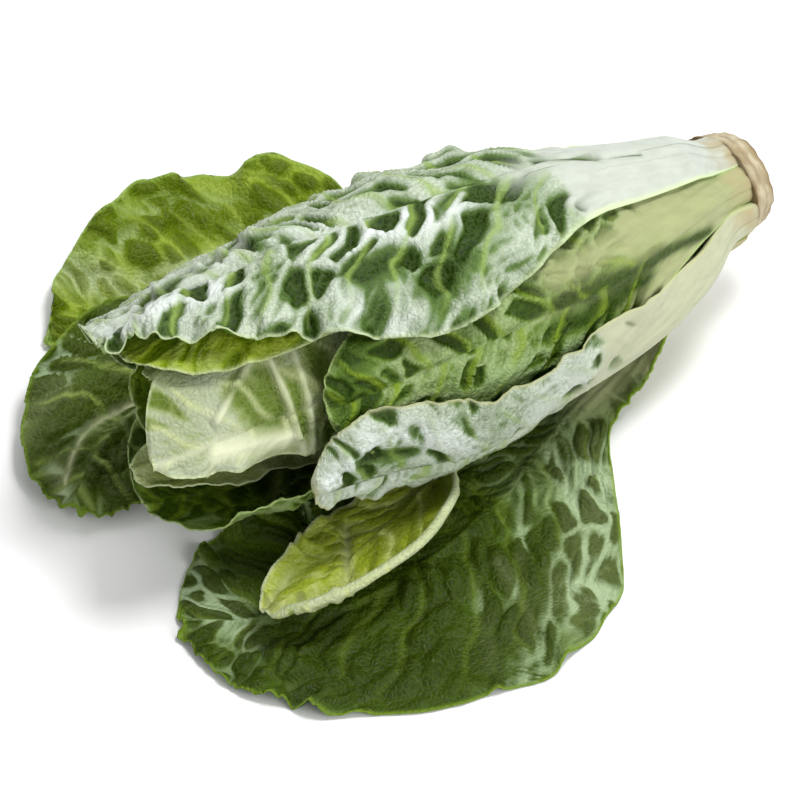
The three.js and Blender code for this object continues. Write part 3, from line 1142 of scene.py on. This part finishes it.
@dataclass
class NestedLeaf(Leaf):
    """A leaf that wraps round the head's axis at the radius of its layer.

    drift is how far its rib turns aside, in degrees, and where along the leaf. lift raises the margin of
    the greater side and flare raises the tip, each between two places along the leaf.
    """

    layer: float = 0.0
    reach: float = 250.0
    drift: tuple[float, float, float] = (0.0, 0.0, 1.0)
    lift: float = 0.0
    lift_along: Pair = (0.2, 0.6)
    flare: float = 0.0
    flare_along: Pair = (0.6, 1.0)

    def length(self) -> float:
        """Give the distance from the ring to the tip."""
        return self.reach - RINGS[self.ring].start

    def surface(self, u: Array, v: Array) -> Array:
        """Give the middle surface: an arc round the axis, as wide as the leaf is at u.

        Args:
            u: Place along the leaf.
            v: Place across it.

        Returns:
            Points with x, y and z along the last axis.
        """
        ring = RINGS[self.ring]
        s = lerp(ring.start, self.reach, u)
        radius = TRUNK.layer(ring, self.layer, s)
        lift = self.lift * np.maximum(0.0, v) ** 2 * smoothstep(u, *self.lift_along)
        flare = self.flare * smoothstep(u, *self.flare_along)
        base = math.radians(self.hug) * radius
        turn = np.degrees(v * self.half_width(v, u, base) / radius)
        midrib = self.angle + self.drift[0] * smoothstep(u, self.drift[1], self.drift[2])
        return TRUNK.around(s, midrib + turn, radius + lift + flare)


def through_rows(rows: Array, s: Array) -> Array:
    """Run smoothly through rows of numbers, by the distance that each row starts with.

    Each span is a cubic, and the slope at a row is that of the line between its two neighbours.

    Args:
        rows: Knots, one to a row.
        s: Distances to read at.

    Returns:
        A row of numbers for each distance.
    """
    last = len(rows) - 1
    before, after = np.maximum(np.arange(last + 1) - 1, 0), np.minimum(np.arange(last + 1) + 1, last)
    slopes = (rows[after] - rows[before]) / (rows[after, :1] - rows[before, :1])
    n = np.clip(np.searchsorted(rows[:, 0], s, side="right") - 1, 0, last - 1)
    span = rows[n + 1, :1] - rows[n, :1]
    t = (s[..., None] - rows[n, :1]) / span
    rise = rows[n + 1] - rows[n]
    near, far = slopes[n] * span, slopes[n + 1] * span
    return rows[n] + near * t + (3 * rise - 2 * near - far) * t**2 + (near + far - 2 * rise) * t**3


@dataclass
class SpreadLeaf(Leaf):
    """A leaf that has come away from the head and follows knots.

    Each knot is the distance along the axis, y, the height, the angle that the outer face looks in,
    and how many degrees the half blades of lesser and greater angle curl inwards. wave is how high the
    two margins wave, from wave_along on. stem_run is how far the base follows the stem at its slope, and
    the base grows as wide as if the ring were base_gain times as large, over base_part of the leaf.
    """

    knots: tuple[Knot, ...] = ()
    wave: Pair = (0.0, 0.0)
    wave_rate: float = 24.0
    wave_along: Pair = (0.35, 0.6)
    stem_run: float = 12.0
    stem_slope: float = 0.14
    base_gain: float = 2.1
    base_part: float = 0.2

    def rows(self) -> Array:
        """Give the knots, with two on the stem before them.

        Returns:
            One row to a knot.
        """
        ring = RINGS[self.ring]
        at_stem = []
        for step in (0.0, self.stem_run):
            x, y, z = TRUNK.around(ring.start + step, self.angle, ring.radius + self.stem_slope * step)
            at_stem.append((-x, y, z, self.angle, self.hug, self.hug))
        return np.array([*at_stem, *self.knots], dtype=float)

    def length(self) -> float:
        """Give the distance from the first knot to the last."""
        rows = self.rows()
        return float(rows[-1, 0] - rows[0, 0])

    def surface(self, u: Array, v: Array) -> Array:
        """Give the middle surface: each half of the blade is an arc that leaves the rib square to it.

        Args:
            u: Place along the leaf.
            v: Place across it.

        Returns:
            Points with x, y and z along the last axis.
        """
        rows = self.rows()
        ring = RINGS[self.ring]
        s = lerp(rows[0, 0], rows[-1, 0], u)
        knot = through_rows(rows, s)
        flip = np.array([-1.0, 1.0, 1.0])
        rib = knot[..., :3] * flip
        along = unit((through_rows(rows, s + 0.5) - through_rows(rows, s - 0.5))[..., :3] * flip)
        facing = np.radians(knot[..., 3])
        look = np.stack([np.zeros_like(facing), -np.sin(facing), np.cos(facing)], axis=-1)
        outward = unit(look - along * np.sum(look * along, axis=-1, keepdims=True))
        aside = np.cross(outward, along)
        growth = np.clip(u / self.base_part, 0.0, 1.0)
        base = math.radians(self.hug) * ring.radius * lerp(1.0, self.base_gain, growth)
        width = self.half_width(v, u, base)
        turn = np.radians(np.where(v > 0, knot[..., 5], knot[..., 4]))
        turn = np.where(np.abs(turn) < 1e-6, 1e-6, turn)
        wave = np.where(v > 0, self.wave[1], self.wave[0]) * v**2 * smoothstep(u, *self.wave_along)
        sweep = turn * np.abs(v)
        fall = width / turn * (1.0 - np.cos(sweep)) + wave * (1.0 + np.sin(self.wave_rate * u))
        out = np.sign(v) * width / turn * np.sin(sweep)
        return rib + aside * out[..., None] - outward * fall[..., None]


# ---- The stem ----


@dataclass(frozen=True)
class Band:
    """A browned line round the stem: its place, its width, its sine wave's size and count, its strength."""

    place: float
    width: float
    wave: float
    waves: int
    strength: float

    def off(self, x: Array, turn: Array) -> Array:
        """Give how far a place is past the line, at an angle round the stem."""
        return x - self.place - self.wave * np.sin(self.waves * turn)

    def on(self, x: Array, turn: Array) -> Array:
        """Mark the line itself, fading to both sides."""
        return self.strength * bell(self.off(x, turn), self.width)

    def beyond(self, x: Array, turn: Array) -> Array:
        """Mark all that lies past the line."""
        return self.strength * smoothstep(self.off(x, turn), -self.width, self.width)


@dataclass
class StemForm:
    """The short cut stem: a bare collar with a rounded, browned cut end, and a stepped core.

    cut_bevel holds depths from the cut face and the radius gained there. A lump wave is its height, the
    number of lumps round the stem, where it starts and how it turns along the stem. flesh, rim, side and
    lumpy are the two radii between which the cut face's colour ends, or the rim's browning, the side's
    marks and the lumps begin.
    """

    cut_face: float = -3.0
    collar_end: float = 8.2
    collar_flare: float = 1.5
    cut_bevel: tuple[Pair, ...] = ((0.2, -2.5), (1.6, -0.6), (4.0, 0.0))
    core_clearance: float = 1.1
    shoulder_gap: float = 0.4
    core_end: float = 66.0
    axle: float = 0.02
    lump_waves: tuple[tuple[float, int, float, float], ...] = (
        (0.35, 5, 1.0, 0.0),
        (0.25, 11, 0.0, 0.3),
        (0.18, 23, 0.0, 0.0),
    )
    edge: Band = Band(0.8, 1.5, 0.5, 7, 1.0)
    wrinkle: Band = Band(3.6, 0.7, 0.8, 4, 0.5)
    ring: Band = Band(12.5, 0.8, 0.6, 3, 0.5)
    seam: Band = Band(7.3, 0.9, -0.5, 9, 0.85)
    flesh: Pair = (15.0, 18.0)
    rim: Pair = (13.0, 17.0)
    side: Pair = (15.0, 17.0)
    lumpy: Pair = (8.0, 18.0)
    sides: int = 120
    steps: int = 10

    def profile(self) -> list[tuple[float, float]]:
        """List distance and radius along the stem, from the cut face to the core's end.

        Returns:
            The corners of the stem cut lengthwise.
        """
        full = TRUNK.stem_radius
        rows = [(self.cut_face, self.axle)]
        rows += [(self.cut_face + depth, full + wider) for depth, wider in self.cut_bevel]
        rows.append((self.collar_end, full + self.collar_flare))
        for n, ring in enumerate(RINGS):
            end = RINGS[n + 1].start if n + 1 < len(RINGS) else self.core_end
            core = ring.radius - self.core_clearance
            rows += [(ring.start - self.shoulder_gap, core), (end - self.shoulder_gap, core)]
        return [*rows, (self.core_end, self.axle)]

    def outline(self, sides: int, finer: int = 1) -> tuple[Array, Array]:
        """Turn the profile round the axis.

        Args:
            sides: Points in each ring.
            finer: Number of parts that each step of the profile is divided into.

        Returns:
            The points, one ring to a row, and each row's distance along the axis.
        """
        rows = np.array(self.profile())
        steps = np.arange((len(rows) - 1) * finer + 1) / finer
        s = np.interp(steps, np.arange(len(rows)), rows[:, 0])
        radius = np.interp(steps, np.arange(len(rows)), rows[:, 1])
        angle = 360.0 * np.arange(sides) / sides
        return TRUNK.around(s[:, None], angle[None, :], radius[:, None]), s

    def marks(self, s: Array, turn: Array, radius: Array) -> dict[str, Array]:
        """Mark the cut face and what is browned: its edge, the leaves' seam, a wrinkle and a ring.

        Args:
            s: Distance along the axis.
            turn: Angle round the axis in radians.
            radius: Distance from the axis.

        Returns:
            The marks that the finish reads.
        """
        depth = s - self.cut_face
        on_side = self.seam.beyond(s, turn) + self.wrinkle.on(s, turn)
        scar = self.edge.on(depth, turn) * smoothstep(radius, *self.rim)
        scar = scar + on_side * smoothstep(radius, *self.side)
        scar = scar + self.ring.on(radius, turn) * (depth < 1.0)
        face = (1.0 - smoothstep(depth, 0.0, 0.6)) * (1.0 - smoothstep(radius, *self.flesh))
        return {"scar": np.clip(scar, 0.0, 1.0), "face": face}

    def build(self) -> bpy.types.Object:
        """Make the stem with an uneven skin.

        Returns:
            The stem's object, which replaces its solid.
        """
        points, s = self.outline(self.sides, self.steps)
        rings, sides = points.shape[:2]
        turn = np.broadcast_to(2.0 * math.pi * np.arange(sides) / sides, (rings, sides))
        s = np.broadcast_to(s[:, None], (rings, sides))
        centre = TRUNK.point(s)
        radius = np.linalg.norm(points - centre, axis=-1)
        lumps = np.zeros_like(radius)
        for height, count, start, twist in self.lump_waves:
            lumps += height * np.sin(count * turn + start + twist * s)
        points = points + unit(points - centre) * (lumps * smoothstep(radius, *self.lumpy))[..., None]
        first = sides * np.arange(rings - 1)[:, None]
        here = (first + np.arange(sides)).ravel()
        after = (first + np.roll(np.arange(sides), -1)).ravel()
        faces = np.stack([here, here + sides, after + sides, after], axis=-1)
        caps = [list(range(sides)), list(range(rings * sides - 1, (rings - 1) * sides - 1, -1))]
        marks = self.marks(s, turn, radius)
        piece = make_mesh("cut_stem", points.reshape(-1, 3), [*faces.tolist(), *caps], marks)
        log.info("stem: %d faces", len(faces) + len(caps))
        piece.data.materials.append(StemFinish().build())
        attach(piece, "root")
        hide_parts("stem")
        return piece


# ---- The head ----


@dataclass
class Head:
    """All the leaves of the head, on their stem.

    The heart's angles, half widths, layers and reaches are series, each told by its first number and its
    step. The outermost heart leaf is wider on its lesser side than the series says, and only the heart's
    first two leaves can be seen, so the others are coarser.
    """

    heart_count: int = 9
    heart_first_ring: int = 2
    heart_to_a_ring: int = 3
    heart_angle: Pair = (60.0, 137.508)
    heart_less: Pair = (33.0, -2.0)
    heart_first_less: float = 48.0
    heart_more: Pair = (19.0, -0.4)
    heart_layer: Pair = (5.2, 1.35)
    heart_reach: Pair = (264.0, -8.0)
    heart_grain: Pair = (1.1, 2.2)
    heart_seed: int = 31

    def spread(self) -> list[Leaf]:
        """List the leaves that have come away from the head.

        Returns:
            The leaves, from the front to the back.
        """
        return [
            SpreadLeaf(
                "fallen_front_leaf", 0, 90, 31, 17, Finish.FALLEN, hug=20.5, swell=(0.1, 0.44),
                widest=0.66, blunt=(10, 1.3), grain=1.0,
                folds=(
                    streak((150, -12), (190, -22), 1.2, 7, 0.7),
                    streak((192, -16), (206, -6), 1.2, 5, 0.9),
                    shaded_pit((172, -10), (192, -12), -1.2, 3, 0.7),
                ),
                relief=Relief(cell=8.5, stretch=1.4, depth=2.2, filled=0.65, slope=0.6, white_from=0.3,
                              white_to=0.5, rib_to=0.8, seed=11),
                knots=(
                    (35, -25, 48.5, 98, 26, 22),
                    (60, -33.4, 42.4, 112, 34, 24),
                    (110, -44.6, 41, 114, 34, 24),
                    (148, -49.4, 42, 114, 32, 24),
                    (180, -49, 50, 100, 30, 24),
                    (214, -49.5, 57, 92, 30, 24),
                ),
            ),
            SpreadLeaf(
                "curled_front_leaf", 1, 112, 36, 26, Finish.CURLED, rib=0.3, swell=(0.5, 0.8),
                rolled=(6.5, 215.0), grain=1.1,
                folds=(
                    ridge((172, 15), (192, -4), 2.2, 1.6, 0.5),
                    ridge((192, -4), (206, -16), 1.6, 1.6, 0.4),
                    shaded_pit((196, 6), (219, 1), -2.2, 4.0, 0.4),
                    shaded_pit((150, -3), (176, -6), -2.0, 7.0, 0.9),
                    ridge((204, 12), (222, 4), 2.0, 1.8, 0.5),
                    streak((190, 12), (208, 8), 2.4, 5.0, 0.8),
                    streak((206, -4), (222, 0), 0.8, 3.5, 0.9, 0.25),
                ),
                relief=Relief(cell=9, depth=1.2, filled=0.2, white_from=0.1, white_to=0.2, ruffle=1.5,
                              ruffle_length=13, seed=12),
                knots=(
                    (60, -29, 42.5, 112, 10, 10),
                    (110, -36.4, 37, 122, 10, 10),
                    (145, -29.5, 16.5, 146, 10, 10),
                    (172, -43, 16.5, 160, 34, 14),
                    (210, -55, 17.5, 168, 46, 20),
                    (240, -61, 19, 170, 46, 24),
                ),
            ),
            SpreadLeaf(
                "spread_front_leaf", 0, 134, 69, 60, Finish.SPREAD, hug=20, swell=(0.28, 0.62),
                widest=0.55, blunt=(1.5, 5), scallop=0.04, lobes=((0.515, 0.03, 0.13),), grain=1.0,
                relief=Relief(cell=7.5, stretch=2.2, depth=2.8, filled=0.0, slope=0.45, fine_depth=0.9,
                              swell=2.0, vein_gap=21, vein_tint=0.4, ruffle=3.2, white_from=0.16,
                              white_to=0.26, rib_to=0.36, seed=13),
                # Streaks lay painted highlight; the wide hollow at 183-212 lays painted shade under the
                # fallen leaf.
                folds=(
                    streak((95, -18), (141, -52), 0.8, 15, 1.0, 0.12),
                    shaded_pit((125, -20), (161, -45), -1.0, 5, 0.7),
                    streak((150, -40), (172, -62), 1.0, 9, 0.9, 0.05),
                    shaded_pit((183, -42), (212, -14), -1.5, 20, 0.9),
                    shaded_pit((150, -11), (178, -14), -1.0, 12, 0.9),
                    streak((232, -8), (250, 14), 0.8, 8, 0.9, 0.05),
                    streak((100, -2), (119, -30), 1.4, 3.5, 1.0, 0.1),
                    streak((119, -30), (128, -56), 1.4, 3.5, 1.0, 0.1),
                    streak((134, -34), (150, -50), 1.2, 4.0, 1.0, 0.1),
                    streak((124, -8), (147, -30), 1.2, 2.6, 1.0, 0.05),
                    streak((147, -19), (158, -50), 1.2, 2.2, 1.0, 0.1),
                    streak((160, -22), (176, -52), 1.2, 2.6, 0.9, 0.05),
                    streak((176, -40), (196, -50), 1.2, 4.0, 0.9),
                    streak((234, 2), (247, 24), 1.0, 5.0, 1.0, 0.05),
                    streak((226, 22), (240, 34), 1.0, 4.0, 0.9),
                    streak((230, -14), (240, -24), 0.8, 5.0, 0.6),
                    streak((196, -46), (218, -38), 0.4, 7.0, 0.35),
                    shaded_pit((215, 18), (236, 32), -1.0, 9, 0.6),
                ),
                wave=(3, 0),
                knots=(
                    (50, -14, 15, 150, 20, 20),
                    (88, -26, 8, 168, 4, 10),
                    (140, -49, 5, 180, -6, 8),
                    (200, -61, 4, 180, -4, 4),
                    (235, -50, 4, 180, -4, 4),
                    (262, -38, 5, 180, 6, 4),
                ),
            ),
            SpreadLeaf(
                "spread_left_leaf", 0, 180, 50, 46, Finish.SIDE, hug=21, scallop=0.04, grain=1.3,
                relief=Relief(cell=8, stretch=1.6, depth=2.4, filled=0.0, slope=0.3, swell=2.2, ruffle=3.0,
                              white_from=0.16, white_to=0.26, seed=14),
                folds=(
                    ridge((200, 3), (218, 6), 1.8, 1.3, 0.9),
                    ridge((218, 6), (232, 8.5), 1.8, 1.3, 0.9),
                    ridge((232, 8.5), (250, 6), 1.6, 1.2, 0.85),
                    shaded_pit((205, 16), (240, 20), -2.2, 7, 0.9),
                    shaded_pit((222, -10), (246, -4), -1.8, 6, 0.9),
                    streak((226, 26), (240, 26), 1.4, 5, 0.8, 0.1),
                    streak((190, 30), (222, 34), 1.4, 6, 1.0),
                    streak((232, 12), (244, 16), 1.0, 4, 0.9),
                    streak((246, 12), (254, 4), 1.4, 3, 0.9, 0.2),
                ),
                wave=(1.5, 3),
                knots=(
                    (42, 9, 17, 180, 6, 6),
                    (105, 22, 11, 182, 4, 12),
                    (175, 46, 11, 184, 4, 10),
                    (220, 55, 11, 184, 6, 10),
                    (248, 46, 10, 184, 8, 10),
                    (270, 28, 8, 182, 10, 14),
                ),
            ),
            SpreadLeaf(
                "spread_back_leaf", 0, 228, 40, 64, Finish.BRIGHT, hug=21.5, swell=(0.38, 0.6),
                scallop=0.04, grain=1.3,
                relief=Relief(cell=8, stretch=1.6, depth=2.4, filled=0.2, slope=0.4, swell=2.2, ruffle=2.6,
                              white_from=0.16, white_to=0.26, seed=15),
                folds=(
                    streak((196, 24), (212, 32), 1.6, 6, 1.0, 0.15),
                    streak((182, 22), (198, 14), 1.4, 5, 0.9, 0.1),
                    streak((150, 30), (178, 24), 1.2, 4, 0.8, 0.1),
                    shaded_pit((140, 44), (200, 46), -1.2, 6, 0.5),
                    streak((120, 30), (160, 52), 1.0, 5, 0.9),
                    streak((170, 52), (190, 40), 1.0, 5, 0.9),
                ),
                wave=(0, 3),
                knots=(
                    (50, 36, 18, 220, 20, 20),
                    (82, 50, 8, 196, 4, 16),
                    (150, 76, 4, 183, 0, 14),
                    (195, 90, 4, 183, 0, 16),
                    (236, 102, 5, 183, 6, 14),
                ),
            ),
        ]

    def wrapped(self) -> list[Leaf]:
        """List the green leaves that wrap round the head.

        Returns:
            The leaves, the top one first.
        """
        return [
            NestedLeaf(
                "top_leaf", 0, -8, 58, 52, Finish.WRAPPER, hug=33, swell=(0.26, 0.58), widest=0.6,
                blunt=(2.6, 1), layer=0, drift=(-20, 0.4, 1), reach=262, lift=3, grain=1.0,
                folds=(
                    ridge((182, -14), (243, -1), 2.0, 1.8, 0.6),
                    ridge((190, -6), (238, 3), 1.6, 1.6, 0.5),
                    shaded_pit((186, -10), (240, 1), -1.4, 1.6, 0.7),
                    streak((210, 10), (232, 8), 0.8, 7, 1.0),
                    streak((118, 12), (150, 8), 1.0, 8, 0.9),
                    shaded_pit((92, 4), (124, 26), -0.5, 12.0, 0.3),
                    streak((226, -2), (246, 2), 0.4, 8.0, 0.8),
                    shaded_pit((150, 22), (164, 26), -2.0, 7, 0.9),
                    shaded_pit((130, 30), (142, 36), -1.6, 6, 0.8),
                    shaded_pit((42, 4), (62, 2), -0.4, 0.8, 0.8),
                    shaded_pit((60, 2), (82, -4), -0.7, 1.9, 1.0),
                ),
                relief=Relief(cell=11.5, stretch=1.3, depth=3.6, filled=0.3, slope=0.45, fine_depth=0.9,
                              swell=1.8, ruffle=3.0, ruffle_length=22, white_from=0.26, white_to=0.35,
                              rib_to=0.42, seed=21),
            ),
            NestedLeaf(
                "back_leaf", 0, -78, 50, 48, Finish.WRAPPER, hug=27.5, rib=0.9, layer=1.15,
                drift=(10, 0, 0.5), reach=248, folds=(ridge((60, 38), (220, 38), -2.4, 14.0),),
                relief=Relief(seed=22),
            ),
            NestedLeaf(
                "lower_leaf", 1, 158, 47, 54, Finish.FRONT, rib=0.6, layer=2.4, drift=(22, 0.45, 1),
                reach=255, flare=1,
                folds=(
                    ridge((190, -4), (204, -26), 2.0, 1.6, 0.5),
                    streak((184, -12), (196, -30), 1.2, 6.0, 0.9),
                    streak((210, -22), (226, -12), 0.8, 4.0, 0.5),
                ),
                relief=Relief(depth=1.2, seed=23),
            ),
            NestedLeaf(
                "upper_back_leaf", 1, -20, 56, 36, Finish.YOUNG, rib=0.5, layer=2.6, reach=256,
                relief=Relief(depth=1.0, seed=24),
            ),
            NestedLeaf(
                "front_leaf", 0, 45.5, 32, 38, Finish.FRONT, hug=22, rib=0.8, layer=1.6,
                drift=(16, 0.1, 0.5), reach=202, grain=1.1,
                # Strips near the base take darker green; the hollow at 174-184 lays painted shade on the
                # leaf's end.
                folds=(
                    shaded_pit((27, 9), (57, 3), 0.2, 2.6, 1.0),
                    shaded_pit((57, 3), (97, -3), 0.2, 4.6, 1.0),
                    ridge((64, -10), (98, -13), 0.3, 6.0, 0.9),
                    shaded_pit((60, 9), (100, 6), -0.4, 4.0, 1.0),
                    ridge((24, 0), (62, -4), 0.5, 4.5, 0.9),
                    streak((72, 16), (100, 14), 1.2, 4.0, 0.8),
                    streak((110, 14), (140, 10), 1.2, 4.0, 0.9),
                    streak((130, 26), (150, 26), 1.2, 4.0, 0.8),
                    shaded_pit((174, -18), (184, 0), -0.8, 10.0, 0.7),
                    ridge((75, -36), (185, -32), -2.6, 9.0),
                ),
                relief=Relief(cell=8, stretch=1.3, depth=2.4, filled=0.15, slope=0.4, white_from=0.24,
                              white_to=0.42, rib_to=0.62, seed=25),
            ),
            NestedLeaf(
                "lower_back_leaf", 1, -106, 50, 50, Finish.FRONT, rib=0.5, layer=3.8, drift=(-16, 0, 0.5),
                reach=242, relief=Relief(depth=1.0, seed=26),
            ),
        ]

    def heart(self) -> list[Leaf]:
        """List the pale inner leaves, each a golden angle on from the last and a layer further in.

        Returns:
            The leaves, from the outermost in.
        """
        folded = (
            ridge((184, -26), (210, -7), 3.0, 1.2, 0.8),
            ridge((184, -26), (183, 8), 3.0, 1.2, 0.8),
            ridge((183, 8), (181, 20), 1.8, 1.4, 0.6),
            ridge((186, 8), (212, 3), 0.6, 4.4, 1.0),
            shaded_pit((197, -13), (192, -3), -2.0, 6.5, 1.0),
            shaded_pit((188, -16), (188, 0), -0.8, 3.5, 0.8),
            ridge((174, -22), (179, 20), 1.8, 1.3, 0.5),
            shaded_pit((179, -12), (181, 8), -1.0, 2.5, 0.9),
            shaded_pit((166, -22), (169, 18), -1.6, 5.0, 1.0),
            ridge((214, 0), (238, 0), 1.0, 1.3, 0.5),
            ridge((207, 11), (222, 8), 1.8, 5.0),
        )
        return [
            NestedLeaf(
                f"heart_leaf_{n + 1}", self.heart_first_ring + n // self.heart_to_a_ring,
                nth(self.heart_angle, n), nth(self.heart_less, n) if n else self.heart_first_less,
                nth(self.heart_more, n), Finish.HEART, hug=22, rib=0.4, blunt=(2.6, 1.5),
                layer=nth(self.heart_layer, n), reach=nth(self.heart_reach, n),
                folds=() if n else folded, grain=self.heart_grain[n > 1],
                relief=Relief(cell=13, depth=0.8, filled=0.75, fine_depth=0.4, vein_height=0.4,
                              white_from=0.35, white_to=0.66, rib_to=0.9, seed=self.heart_seed + n),
            )
            for n in range(self.heart_count)
        ]

    def build(self) -> None:
        """Make the stem and every leaf in order."""
        StemForm().build()
        for leaf in (*self.spread(), *self.wrapped(), *self.heart()):
            leaf.build()


# ---- The studio ----


@dataclass(frozen=True)
class Lamp:
    """A square light that points at the object: its place and its side in metres, its power in watts."""

    name: str
    place: tuple[float, float, float]
    side: float
    power: float

    def hang(self) -> None:
        """Hang the light in its place."""
        data = bpy.data.lights.new(self.name, "AREA")
        data.size = self.side
        data.energy = self.power
        lamp = put(self.name, data)
        lamp.location = self.place
        lamp.rotation_euler = (-Vector(self.place)).to_track_quat("-Z", "Y").to_euler()


@dataclass
class Studio:
    """A plain pale floor, soft lights and the camera. Sizes are in metres."""

    azimuth: float = -31.0
    elevation: float = 48.0
    aim: tuple[float, float, float] = (-0.0218, -0.0225, 0.0358)
    view_width: float = 0.288
    distance: float = 3.0
    sensor: float = 36.0
    floor_reach: float = 6.0
    floor_height: float = -0.0004
    floor_tone: float = 0.9
    sky: float = 0.5
    lamps: tuple[Lamp, ...] = (
        Lamp("key", (0.3, -0.15, 1.3), 0.35, 12.0),
        Lamp("fill", (0.3, -1.2, 0.8), 0.8, 8.5),
        Lamp("rim", (0.5, 0.9, 1.0), 0.7, 5.0),
    )

    def back(self) -> Vector:
        """Give the direction from the object to the camera."""
        a, e = math.radians(self.azimuth), math.radians(self.elevation)
        return Vector((math.sin(a) * math.cos(e), -math.cos(a) * math.cos(e), math.sin(e)))

    def camera(self) -> None:
        """Set up the camera with a long lens, so that parallel lines stay almost parallel."""
        data = bpy.data.cameras.new("camera")
        data.sensor_width = self.sensor
        data.lens = self.sensor * self.distance / self.view_width
        data.clip_end = 20.0
        camera = put("camera", data)
        camera.location = Vector(self.aim) + self.back() * self.distance
        camera.rotation_euler = (-self.back()).to_track_quat("-Z", "Y").to_euler()
        bpy.context.scene.camera = camera

    def floor(self) -> None:
        """Lay a wide pale floor just under the object."""
        mesh = bpy.data.meshes.new("floor")
        corners = [(-1, -1), (1, -1), (1, 1), (-1, 1)]
        corners = [(self.floor_reach * x, self.floor_reach * y, self.floor_height) for x, y in corners]
        mesh.from_pydata(corners, [], [(0, 1, 2, 3)])
        floor = put("floor", mesh)
        material = bpy.data.materials.new("floor")
        material.use_nodes = True
        shader = material.node_tree.nodes["Principled BSDF"]
        shader.inputs["Base Color"].default_value = (self.floor_tone, self.floor_tone, self.floor_tone, 1.0)
        shader.inputs["Roughness"].default_value = 0.9
        mesh.materials.append(material)

    def build(self) -> None:
        """Make the floor, the lights, the pale surroundings and the camera."""
        self.floor()
        for lamp in self.lamps:
            lamp.hang()
        world = bpy.data.worlds.new("surroundings")
        world.use_nodes = True
        sky = world.node_tree.nodes["Background"]
        sky.inputs["Color"].default_value = (1.0, 1.0, 1.0, 1.0)
        sky.inputs["Strength"].default_value = self.sky
        bpy.context.scene.world = world
        bpy.context.scene.view_settings.view_transform = "Standard"
        self.camera()


def main() -> None:
    """Build the head and the studio."""
    logging.basicConfig(level=logging.INFO, format="%(name)s: %(message)s")
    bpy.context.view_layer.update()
    Head().build()
    Studio().build()


if __name__ == "__main__":
    main()
